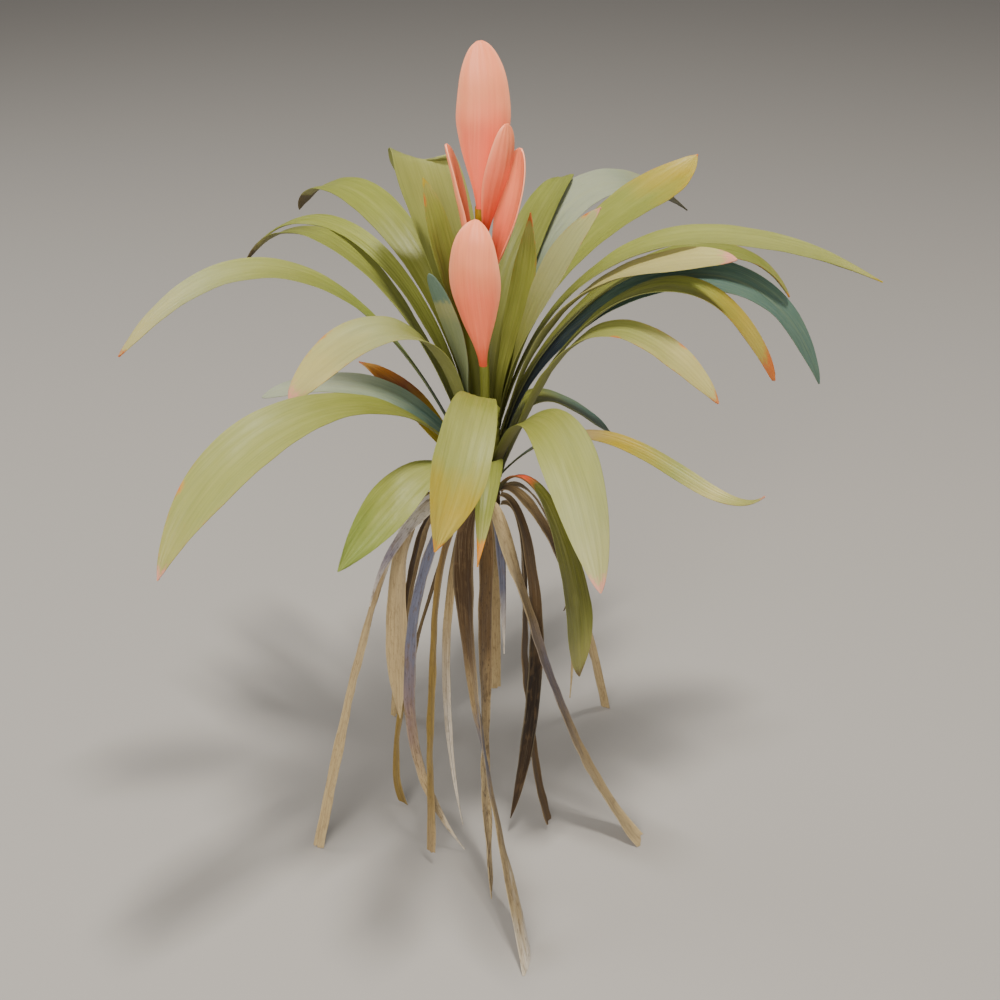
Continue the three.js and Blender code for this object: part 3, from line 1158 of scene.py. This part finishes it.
def merge_close(made: bpy.types.Object, distance: float = 0.005) -> None:
    """Joins points of a mesh that lie close together, such as a pole's.

    Args:
        made: The mesh object.
        distance: How close they lie at most, in millimetres.
    """
    work = bmesh.new()
    work.from_mesh(made.data)
    bmesh.ops.remove_doubles(work, verts=work.verts, dist=distance / METRE)
    bmesh.ops.dissolve_degenerate(work, edges=work.edges, dist=distance / METRE / 10)
    bmesh.ops.recalc_face_normals(work, faces=work.faces)
    work.to_mesh(made.data)
    work.free()


@dataclass
class Stalk:
    """The thin stalk of the bracts, upright out of the stem and then leaning.

    collars are where the bracts join it, as (height, heading). collar is how far each one swells the stalk,
    collar_drop how far below the joint it is thickest, and collar_reach how far up and down it spreads.
    """

    origin: Array
    collars: tuple[Pair, ...]
    radius: float = 3.0
    inset: float = 0.1
    bottom: float = 303.35
    top: float = 421.0
    stem_top: float = 303.0
    lean: float = -2.0
    sides: int = 28
    rows: int = 120
    collar: float = 0.28
    collar_drop: float = 3
    collar_reach: float = 3.5
    rib: float = 0.07
    ribs: int = 7
    grain_seed: float = 3.0
    finish: StemFinish = StemFinish(roughness=0.5, relief=0.12)
    paint: Paint = Paint((Tone.OLIVE, Tone.LEAF, Tone.LEAF, Tone.OCHRE), mottle=0.1)

    def axis(self, height: float) -> Pair:
        """Where the stalk's axis runs at a height."""
        share = (height - self.stem_top) / (self.top - self.stem_top)
        return float(self.lean * smooth(share, 0, 1)), 0.0

    def swelling(self, height: float, angle: float) -> float:
        """How much the nearest collar swells the stalk at a height and an angle, from 0 to 1."""
        return max(
            math.exp(-(((height - joint + self.collar_drop) / self.collar_reach) ** 2))
            * max(0, math.cos(angle - math.radians(way)))
            for joint, way in self.collars
        )

    def build(self) -> None:
        """Makes the stalk, with a low collar where each bract joins it."""
        points, places, grains = [], [], []
        for i in range(self.rows + 1):
            share = i / self.rows
            height = lerp(self.bottom, self.top, share)
            x, y = self.axis(height)
            for k in range(self.sides):
                angle = math.tau * k / self.sides
                radius = self.radius - self.inset + self.collar * self.swelling(height, angle)
                radius += self.rib * math.cos(self.ribs * angle)
                points.append((x + radius * math.cos(angle), y + radius * math.sin(angle), height))
                places.append((share, 0.0, 1.0))
                grains.append((self.radius * angle, height, self.grain_seed))
        last = self.rows * self.sides
        ends = [tuple(reversed(range(self.sides))), tuple(last + k for k in range(self.sides))]
        made = make_mesh(
            "flower_stalk_fine",
            np.array(points) + self.origin,
            [ends[0], *ring_faces(self.rows + 1, self.sides), ends[1]],
            {"place": np.array(places), "grain": np.array(grains)},
        )
        place_piece(made, self.finish.dress("stalk_skin", self.paint), Slot.STEM, "flower_stalk")


BRACT_TONES = (Tone.CORAL, Tone.SALMON, Tone.SALMON, Tone.PEACH, Tone.PEACH)
BRACTS = (
    Blade("bract_lowest", 258, 328, (10, 352), (30, 396), (16, 419), 31, sway=-4, paint=Paint(BRACT_TONES)),
    Blade("bract_left", 190, 366, (6, 385), (13, 430), (19, 456), 20, roll=(0, -25),
          paint=Paint(BRACT_TONES)),
    Blade("bract_right", 346, 374, (10, 395), (22, 427), (21.5, 454.5), 24.5, roll=(25, 55),
          paint=Paint(BRACT_TONES)),
    Blade("bract_small", 312, 404, (7, 420), (20.5, 446), (21, 470), 18, roll=(0, -14),
          paint=Paint((Tone.CLAY, Tone.CORAL, Tone.SALMON, Tone.PEACH))),
    Blade("bract_top", 275, 421, (3, 440), (14, 480), (3, 509), 31, sway=4, paint=Paint(BRACT_TONES)),
)

OLIVE_LEAF = (Tone.OLIVE, Tone.OLIVE, Tone.LEAF, Tone.LEAF)
GREEN_LEAF = (Tone.OLIVE, Tone.LEAF, Tone.SAGE, Tone.SAGE)
PALE_LEAF = (Tone.OLIVE, Tone.LEAF, Tone.SAGE, Tone.PALE)
LEAVES = (
    Blade("leaf_outer_front_left", 230, 250, (34, 288), (60, 289), (124, 247), 29, roll=(33, -62),
          swell=0.9, taper=0.68, blunt=0.78,
          paint=Paint((Tone.OLIVE, Tone.LEAF, Tone.SAGE, Tone.LEAF, Tone.FRESH))),
    Blade("leaf_outer_front_hanging", 318, 247, (36, 296), (76, 232), (77, 143), 34.5, roll=(-34, -5),
          swell=1.1, taper=0.81, blunt=0.85,
          paint=Paint((Tone.UMBER, Tone.CORAL, Tone.MOSS, Tone.MOSS, Tone.MOSS, Tone.MOSS, Tone.OLIVE),
                      tip=Tone.BARK, tip_share=0.03, mottle=0.1)),
    Blade("leaf_outer_front_folded", 268, 251, (26, 296), (76, 302), (98, 252), 16, seat=14, sway=6,
          cup=(0.5, 0.7), paint=Paint((Tone.OLIVE, Tone.LEAF, Tone.LEAF), tip=Tone.ORANGE, tip_share=0.1)),
    Blade("leaf_outer_left_bluish", 158, 256, (36, 304), (101, 310), (152, 279), 24, roll=(12, -23),
          swell=0.46, taper=0.48, blunt=0.61, slot=Slot.BLUE_LEAF,
          paint=Paint((Tone.TEAL, Tone.TEAL, Tone.BLUE, Tone.MIST, Tone.MIST))),
    Blade("leaf_outer_back_left", 140, 249, (40, 271), (66, 298), (104, 299), 20,
          paint=Paint((Tone.OLIVE, Tone.OCHRE, Tone.CLAY, Tone.ORANGE), tip=Tone.RUST, tip_share=0.05,
                      scorch=0.4, mottle=0.6)),
    Blade("leaf_outer_back_right", 32, 252, (26, 300), (25, 319), (92, 259), 29, roll=(-34, 15),
          swell=0.83, taper=0.85, blunt=0.45, paint=Paint((Tone.MOSS, Tone.OLIVE, Tone.OLIVE, Tone.TEAL))),
    Blade("leaf_outer_right_twisted", 331, 257, (80, 352), (143, 252), (173, 288), 14, roll=(0, 15),
          paint=Paint((Tone.TEAL, Tone.TAN, Tone.OCHRE, Tone.SAGE, Tone.CREAM, Tone.SAGE), tip=Tone.BLUSH,
                      tip_share=0.03, scorch=0.3)),
    Blade("leaf_front_left_broad", 224, 260, (70, 360), (177, 363), (224, 281), 35.5, roll=(-13, -21),
          swell=0.85, taper=0.6, blunt=0.86,
          paint=Paint(GREEN_LEAF, tip=Tone.BLUSH, tip_share=0.03, scorch=0.3, spots=((0.83, -1, 3.5),))),
    Blade("leaf_front_broad", 262, 266, (40, 355), (122, 375), (164, 302), 31.5, seat=3, sway=20,
          roll=(12, -42), swell=0.89, taper=0.8, blunt=0.89,
          paint=Paint((Tone.OLIVE, Tone.LEAF, Tone.LEAF, Tone.LEAF, Tone.SAGE, Tone.SAGE, Tone.OCHRE),
                      tip=Tone.ORANGE, tip_share=0.02, spots=((0.96, -1, 3),))),
    Blade("leaf_front_right_broad", 289, 260, (58, 342), (132, 369), (178, 282), 43, seat=4,
          roll=(9, 41), swell=1.1, taper=0.55, blunt=0.72,
          paint=Paint((Tone.OLIVE, Tone.LEAF, Tone.LEAF, Tone.SAGE, Tone.PALE), tip=Tone.BLUSH,
                      tip_share=0.03)),
    Blade("leaf_left_arched", 208, 268, (16, 340), (49, 397), (119, 332), 34, roll=(18, -13),
          swell=0.6, taper=0.76, blunt=0.58,
          paint=Paint((Tone.OLIVE, Tone.SAGE, Tone.SAGE, Tone.PALE, Tone.CREAM), tip=Tone.BLUSH,
                      tip_share=0.03, scorch=0.4, spots=((0.85, -1, 2.5), (0.93, 1, 2)))),
    Blade("leaf_left_long", 186, 264, (70, 420), (147, 411), (205, 342), 31.5, roll=(16, -23),
          swell=0.8, taper=0.42, blunt=0.67,
          paint=Paint((Tone.TEAL, Tone.FRESH, Tone.LEAF, Tone.SAGE, Tone.PALE, Tone.CREAM), tip=Tone.RUST,
                      tip_share=0.025)),
    Blade("leaf_right_low", 342, 259, (33, 317), (57, 411), (136, 323), 21.5, roll=(-34, 22),
          swell=0.65, taper=0.85, blunt=0.68,
          paint=Paint((Tone.OLIVE, Tone.LEAF, Tone.SAGE, Tone.SAGE, Tone.CREAM), tip=Tone.RUST,
                      tip_share=0.02, scorch=0.5, spots=((0.88, 1, 2.5), (0.7, -1, 2)))),
    Blade("leaf_right_middle", 358, 265.5, (31, 336), (104, 445), (167, 320), 24, roll=(-34, 21),
          swell=0.98, taper=0.85, blunt=0.45,
          paint=Paint((Tone.OLIVE, Tone.LEAF, Tone.LEAF, Tone.LEAF, Tone.OCHRE), tip=Tone.RUST,
                      tip_share=0.05, scorch=0.4)),
    Blade("leaf_right_blue", 17, 272, (34, 372), (168, 420), (220, 285), 25, roll=(-20, 55),
          taper=0.65, blunt=0.6, slot=Slot.BLUE_LEAF,
          paint=Paint((Tone.SLATE, Tone.SLATE, Tone.TEAL, Tone.TEAL, Tone.TEAL, Tone.TEAL))),
    Blade("leaf_back_left_curled", 152, 270, (32, 342), (112, 437), (169, 357), 29, roll=(34, -1),
          swell=0.66, taper=0.49,
          paint=Paint((Tone.OLIVE, Tone.LEAF, Tone.LEAF, Tone.LEAF, Tone.UMBER), tip=Tone.BROWN,
                      tip_share=0.08)),
    Blade("leaf_back_left_long", 143, 276, (28, 350), (98, 430), (178, 364), 20.5, roll=(0, -24),
          swell=1.1, taper=0.35, paint=Paint((Tone.OLIVE, Tone.LEAF, Tone.LEAF, Tone.LEAF))),
    Blade("leaf_right_under", 18, 277, (32, 370), (146, 421), (194, 345), 20.5, roll=(-34, 30),
          swell=0.55, taper=0.35, blunt=0.45,
          paint=Paint(OLIVE_LEAF, tip=Tone.ORANGE, tip_share=0.02, scorch=0.6)),
    Blade("leaf_right_pale", 352, 284, (32, 370), (62, 394), (138, 398), 32.5, roll=(-34, 8),
          swell=0.89, taper=0.84, blunt=0.76,
          paint=Paint((Tone.SAGE, Tone.PALE, Tone.CREAM, Tone.CREAM, Tone.CREAM), tip=Tone.BLUSH,
                      tip_share=0.04)),
    Blade("leaf_right_long", 5, 293, (46, 432), (151, 410), (229, 370), 29.5, roll=(-22, 25),
          swell=0.59, taper=0.38, paint=Paint(GREEN_LEAF, tip=Tone.OCHRE, tip_share=0.03)),
    Blade("leaf_back_left_tall", 129, 281, (28, 387), (142, 433), (195, 370), 24.5, roll=(-34, 0),
          swell=0.62, taper=0.64, blunt=0.7, paint=Paint(OLIVE_LEAF, tip=Tone.BROWN, tip_share=0.1)),
    Blade("leaf_back_right_ochre", 44, 284, (38, 402), (127, 383.5), (184, 413), 37.5, roll=(-17, 8),
          swell=0.82, taper=0.71, blunt=0.91,
          paint=Paint((Tone.OLIVE, Tone.LEAF, Tone.LEAF, Tone.LEAF, Tone.OCHRE), tip=Tone.RUST,
                      tip_share=0.015, scorch=0.4)),
    Blade("leaf_back_right_blue", 53, 289, (38, 401), (144, 425), (225, 360), 27, seat=8, sway=31,
          roll=(-30, 43), taper=0.72, blunt=0.98, slot=Slot.BLUE_LEAF,
          paint=Paint((Tone.TEAL, Tone.BLUE, Tone.MIST, Tone.MIST, Tone.BLUE), tip=Tone.DARK,
                      tip_share=0.12)),
    Blade("leaf_back_right_tall", 69, 293, (22, 402), (150, 410), (131, 396), 24, seat=3, sway=-6,
          roll=(0, -24), swell=0.37, paint=Paint(OLIVE_LEAF)),
    Blade("leaf_back_creased", 106, 290, (28, 392), (65, 523), (43, 356), 42, seat=6, sway=52,
          roll=(15, 15), swell=0.43, cup=(0.5, 0.37),
          paint=Paint((Tone.LEAF, Tone.SAGE, Tone.SAGE, Tone.MIST))),
    Blade("leaf_inner_left", 158, 297, (9, 331), (26, 405), (36, 433), 21.5, roll=(7, -28), swell=0.8,
          taper=0.52, blunt=0.91,
          paint=Paint(OLIVE_LEAF, tip=Tone.OCHRE, tip_share=0.05, scorch=0.4, spots=((0.9, 1, 3),))),
    Blade("leaf_inner_front_left", 205, 294, (16, 325), (10, 330), (33, 388), 18, roll=(-34, 52),
          swell=1, taper=0.45, blunt=0.45,
          paint=Paint((Tone.TEAL, Tone.BLUE, Tone.BLUE), tip=Tone.TEAL, tip_share=0.12)),
    Blade("leaf_inner_right", 348, 298, (16, 335), (38, 398), (64, 425), 28.5, roll=(1, 52),
          swell=0.7, taper=0.45, blunt=0.94,
          paint=Paint((Tone.OLIVE, Tone.SAGE, Tone.PALE, Tone.PALE), tip=Tone.BLUSH, tip_share=0.04,
                      scorch=0.4, spots=((0.93, 1, 3),))),
    Blade("leaf_inner_back_right", 34, 298, (14, 340), (32, 365), (31, 412), 24, seat=8, roll=(2, 21),
          swell=1, taper=0.46, blunt=0.93,
          paint=Paint(OLIVE_LEAF, tip=Tone.RUST, tip_share=0.05, scorch=0.6)),
    Blade("leaf_outer_back", 82, 256, (30, 315), (95, 335), (150, 285), 30,
          paint=Paint(GREEN_LEAF, tip=Tone.ORANGE, tip_share=0.04, scorch=0.5)),
    Blade("leaf_back_low", 106, 264, (30, 345), (110, 370), (165, 320), 32,
          paint=Paint(PALE_LEAF, tip=Tone.BLUSH, tip_share=0.04, scorch=0.4, spots=((0.7, -1, 3),))),
)

FADED = (Tone.TAN, Tone.TAN, Tone.STRAW, Tone.STRAW)
STRAPS = (
    Blade("dry_leaf_foot_front", 280, 240, (53, 267), (-18, 130), (150, 0), 16, seat=-29, sway=-19,
          roll=(-30, 130), swell=0.5, cut=True,
          paint=Paint((Tone.BARK, Tone.BROWN, Tone.BROWN, Tone.BROWN, Tone.BROWN, Tone.BROWN, Tone.BROWN,
                      Tone.BARK, Tone.TAN, Tone.STEEL, Tone.TAN, Tone.STRAW, Tone.WHITE), mottle=0.5)),
    Blade("dry_leaf_foot_left", 204, 244, (50, 266), (61, 210), (122, 0), 7.5, sway=-25,
          roll=(34, -37), cut=True,
          paint=Paint((Tone.BARK, Tone.LILAC, Tone.WHITE, Tone.WHITE, Tone.TAN, Tone.STRAW, Tone.STRAW,
                      Tone.STRAW))),
    Blade("dry_leaf_foot_right", 337, 241, (33, 261), (45, 50), (111, 0), 14, seat=-52, sway=5,
          roll=(-34, -8), cut=True,
          paint=Paint((Tone.STRAW, Tone.STRAW, Tone.STRAW, Tone.TAN, Tone.LILAC, Tone.TAN, Tone.STRAW,
                      Tone.STRAW), mottle=0.4)),
    Blade("dry_leaf_foot_back_right", 48, 240, (31, 257), (95, 141), (132, 0), 7, roll=(1, -19),
          cut=True, paint=Paint((Tone.BARK, Tone.TAN, Tone.STRAW, Tone.STRAW))),
    Blade("dry_leaf_foot_back_left", 128, 240, (40, 262), (95, 150), (112, 0), 8, cut=True,
          paint=Paint((Tone.TAN, Tone.STRAW, Tone.TAN, Tone.STRAW))),
    Blade("dry_leaf_spike_left", 215, 246, (25, 262), (70, 238), (84, 192), 10.5, roll=(1, 3),
          taper=0.41, blunt=0.99,
          paint=Paint((Tone.BARK, Tone.STRAW, Tone.WHITE, Tone.LILAC, Tone.WHITE), mottle=0.6)),
    Blade("dry_leaf_pale_left", 201, 239, (44, 260), (55, 220), (60, 86), 19.5, sway=-25,
          roll=(34, -34), taper=0.84, blunt=0.8,
          paint=Paint((Tone.BROWN, Tone.BARK, Tone.STRAW, Tone.STRAW, Tone.STRAW, Tone.STRAW))),
    Blade("dry_leaf_long_left", 255, 242, (50, 262), (59, 87), (56, 3), 9, seat=-30, sway=-65,
          roll=(32, 3), taper=0.67, blunt=0.99,
          paint=Paint((Tone.STEEL, Tone.STEEL, Tone.STEEL, Tone.STEEL, Tone.MAUVE, Tone.STRAW,
                      Tone.WHITE), mottle=0.5)),
    Blade("dry_leaf_curled_left", 189, 236, (18, 238), (77, 54), (58, 2), 7, sway=-2, roll=(19, -41),
          cut=True, paint=Paint((Tone.BROWN, Tone.BARK, Tone.MUSTARD, Tone.MUSTARD))),
    Blade("dry_leaf_front_left", 240, 238, (48, 252), (58, 100), (72.7, 9), 7, seat=-16, sway=-6,
          roll=(20, 20), cut=True,
          paint=Paint((Tone.DARK, Tone.BARK, Tone.MUSTARD, Tone.MUSTARD, Tone.TAN))),
    Blade("dry_leaf_split_left", 250, 234.5, (22, 239), (36, 130), (46, 14), 6, seat=-30, sway=-26,
          roll=(29, -28), taper=0.5, split=0.55,
          paint=Paint((Tone.BARK, Tone.TAN, Tone.STRAW, Tone.WHITE, Tone.WHITE))),
    Blade("dry_leaf_mottled_front", 272, 238, (35, 241), (35, 52), (91, 4), 12, sway=-6,
          roll=(-34, -75), cut=True,
          paint=Paint((Tone.TAN, Tone.BARK, Tone.BARK, Tone.BARK, Tone.TAN, Tone.STRAW, Tone.STRAW,
                      Tone.STRAW), mottle=0.8)),
    Blade("dry_leaf_spike_front", 294, 234.5, (22, 240), (27, 190), (28, 141), 6,
          paint=Paint((Tone.DARK, Tone.STEEL, Tone.STEEL, Tone.WHITE))),
    Blade("dry_leaf_dark_right", 294, 243, (28, 248), (25, 131), (39, 13), 10.5, seat=46, sway=39,
          roll=(-34, 13), taper=0.77, blunt=0.74, slot=Slot.BROWN,
          paint=Paint((Tone.TAN, Tone.BARK, Tone.BARK, Tone.BARK, Tone.DARK, Tone.DARK, Tone.BROWN),
                      mottle=0.5)),
    Blade("dry_leaf_brown_right", 325, 236, (36, 247), (11, 98), (51, 4), 10.5, seat=25, sway=4,
          roll=(-13, -15), cut=True, slot=Slot.BROWN,
          paint=Paint((Tone.TAN, Tone.BARK, Tone.BARK, Tone.BARK))),
    Blade("dry_leaf_spike_right", 348, 246, (24, 258), (60, 187), (50, 163), 8, roll=(34, -8),
          taper=0.35, slot=Slot.BROWN,
          paint=Paint((Tone.BARK, Tone.TAN, Tone.BARK, Tone.BROWN, Tone.DARK))),
    Blade("dry_leaf_back_right", 20, 242, (34, 262), (66, 170), (60, 70), 9, taper=0.6, paint=Paint(FADED)),
    Blade("dry_leaf_back", 86, 241, (34, 262), (72, 150), (70, 40), 9, cut=True, paint=Paint(FADED)),
    Blade("dry_leaf_back_left", 106, 236, (34, 256), (60, 180), (64, 90), 8, taper=0.5,
          slot=Slot.BROWN, paint=Paint((Tone.BARK, Tone.BROWN, Tone.BARK, Tone.TAN))),
    Blade("dry_leaf_left", 160, 242, (34, 262), (66, 160), (60, 55), 9, taper=0.6, slot=Slot.BROWN,
          paint=Paint((Tone.BARK, Tone.BROWN, Tone.BARK, Tone.BARK))),
)


@dataclass
class Rosette:
    """The green leaves round the stem."""

    origin: Array
    leaves: tuple[Blade, ...] = LEAVES
    section: Section = Section(
        reach=9.8, thickness=0.9, margin=0.35, foot=6.5, tip=0.8, swell=0.55, taper=0.5, rows=72, columns=24
    )
    finish: LeafFinish = field(default_factory=LeafFinish)

    def build(self) -> None:
        """Makes each leaf and dresses it."""
        for leaf in self.leaves:
            made = BladeForm(leaf, self.section).build(self.origin)
            material = self.finish.dress(f"{leaf.name}_skin", leaf.paint)
            place_piece(made, material, leaf.slot or Slot.GREEN_LEAF, leaf.name)


@dataclass
class BractHead:
    """The stalk's five bracts."""

    origin: Array
    stalk: Stalk
    bracts: tuple[Blade, ...] = BRACTS
    section: Section = Section(
        reach=3.95, thickness=1.2, margin=0.6, foot=5, tip=2.5, swell=0.6, taper=0.55, rows=64, columns=28,
        blunt=0.5, cup=(0.9, 0.6), ribs=5, rib_depth=0.12, midrib=0.25, ripple=0.4, pucker=0.15,
    )
    finish: BractFinish = field(default_factory=BractFinish)

    def build(self) -> None:
        """Makes each bract and dresses it."""
        for bract in self.bracts:
            made = BladeForm(bract, self.section, self.stalk.axis(bract.foot)).build(self.origin)
            material = self.finish.dress(f"{bract.name}_skin", bract.paint)
            place_piece(made, material, Slot.BRACT, bract.name)


@dataclass
class DrySkirt:
    """The dead leaves that hang from the stem's lower end and carry the plant."""

    origin: Array
    straps: tuple[Blade, ...] = STRAPS
    section: Section = Section(
        reach=9.75, thickness=0.8, margin=0.3, foot=5, tip=0.6, swell=0.3, taper=0.35, rows=90, columns=12,
        ribs=3, rib_depth=0.16, midrib=0.3, ripple=1.1, pucker=0.35, ragged=0.05, fray=1.6,
    )
    finish: DryFinish = field(default_factory=DryFinish)

    def build(self) -> None:
        """Makes each dry leaf and dresses it."""
        for strap in self.straps:
            made = BladeForm(strap, self.section).build(self.origin)
            material = self.finish.dress(f"{strap.name}_fibre", strap.paint)
            place_piece(made, material, strap.slot or Slot.STRAW, strap.name)


@dataclass(frozen=True)
class SoftLight:
    """A square studio light that points at the plant. place is in metres from the plant's middle."""

    name: str
    place: tuple[float, float, float]
    side: float
    power: float
    colour: tuple[float, float, float] = (1.0, 1.0, 1.0)

    def build(self, target: Vector) -> None:
        """Makes the light.

        Args:
            target: The point that it faces.
        """
        lamp = bpy.data.lights.new(self.name, "AREA")
        lamp.size = self.side
        lamp.energy = self.power
        lamp.color = self.colour
        holder = bpy.data.objects.new(self.name, lamp)
        holder.location = target + Vector(self.place)
        holder.rotation_euler = (-Vector(self.place)).to_track_quat("-Z", "Y").to_euler()
        bpy.context.scene.collection.objects.link(holder)


@dataclass
class Studio:
    """The camera, the lights and the pale floor.

    camera_place is in millimetres from the plant's axis at the surface. The lens and the sensor are in
    millimetres, and the floor and the far clip in metres.
    """

    origin: Array
    camera_place: tuple[float, float, float] = (8.8, -732.0, 660.0)
    camera_pitch: float = 30.0
    lens: float = 50.0
    sensor: float = 36.0
    far_clip: float = 40.0
    floor_radius: float = 9.0
    floor_sides: int = 96
    floor_colour: Colour = linear(158, 153, 146)
    floor_roughness: float = 0.9
    air_colour: Colour = linear(200, 200, 202)
    air_strength: float = 0.38
    lights: tuple[SoftLight, ...] = (
        SoftLight("key_light", (0.30, -0.30, 2.2), 0.3, 71.0, (1.0, 0.98, 0.94)),
        SoftLight("front_light", (-0.5, -2.2, 1.0), 1.5, 68.0, (1.0, 0.97, 0.94)),
        SoftLight("rim_light", (-1.7, 0.7, 1.1), 0.8, 14.0, (0.92, 0.96, 1.0)),
    )

    def build(self) -> None:
        """Makes all of it."""
        self.set_camera()
        low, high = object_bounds()
        for light in self.lights:
            light.build((low + high) / 2)
        self.fill_air()
        self.lay_floor()

    def set_camera(self) -> None:
        """Places the camera at the photograph's viewing angle."""
        lens = bpy.data.cameras.new("camera")
        lens.lens = self.lens
        lens.sensor_width = self.sensor
        lens.clip_end = self.far_clip
        camera = bpy.data.objects.new("camera", lens)
        camera.location = Vector((np.array(self.camera_place) + self.origin) / METRE)
        camera.rotation_euler = (math.radians(90 - self.camera_pitch), 0, 0)
        bpy.context.scene.collection.objects.link(camera)
        bpy.context.scene.camera = camera

    def fill_air(self) -> None:
        """Gives the scene its even light."""
        world = bpy.data.worlds.new("studio_air")
        world.use_nodes = True
        background = world.node_tree.nodes["Background"]
        background.inputs["Color"].default_value = self.air_colour
        background.inputs["Strength"].default_value = self.air_strength
        bpy.context.scene.world = world

    def lay_floor(self) -> None:
        """Lays the round floor that the plant stands on."""
        points = [polar(self.floor_radius, 360 * k / self.floor_sides, 0) for k in range(self.floor_sides)]
        mesh = bpy.data.meshes.new("floor")
        mesh.from_pydata([tuple(point) for point in points], [], [tuple(range(self.floor_sides))])
        floor = bpy.data.objects.new("floor", mesh)
        bpy.context.scene.collection.objects.link(floor)
        shader = Shader("floor_paper")
        floor.data.materials.append(shader.surface(self.floor_colour, self.floor_roughness, None, 0.0, {}))
        floor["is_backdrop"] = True


def plant_origin() -> Array:
    """Where the plant's axis meets the surface.

    Returns:
        The point below the middle of the stem, in millimetres.
    """
    low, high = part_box("stem")
    middle = (low + high) / 2 * METRE
    return np.array([middle.x, middle.y, 0.0])


def main() -> None:
    """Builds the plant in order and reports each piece."""
    logging.basicConfig(level=logging.INFO, format="%(message)s")
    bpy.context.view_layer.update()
    origin = plant_origin()
    Studio(origin).build()
    Stem(origin).build()
    stalk = Stalk(origin, tuple((bract.foot, bract.heading) for bract in BRACTS))
    stalk.build()
    BractHead(origin, stalk).build()
    Rosette(origin).build()
    DrySkirt(origin).build()


if __name__ == "__main__":
    main()
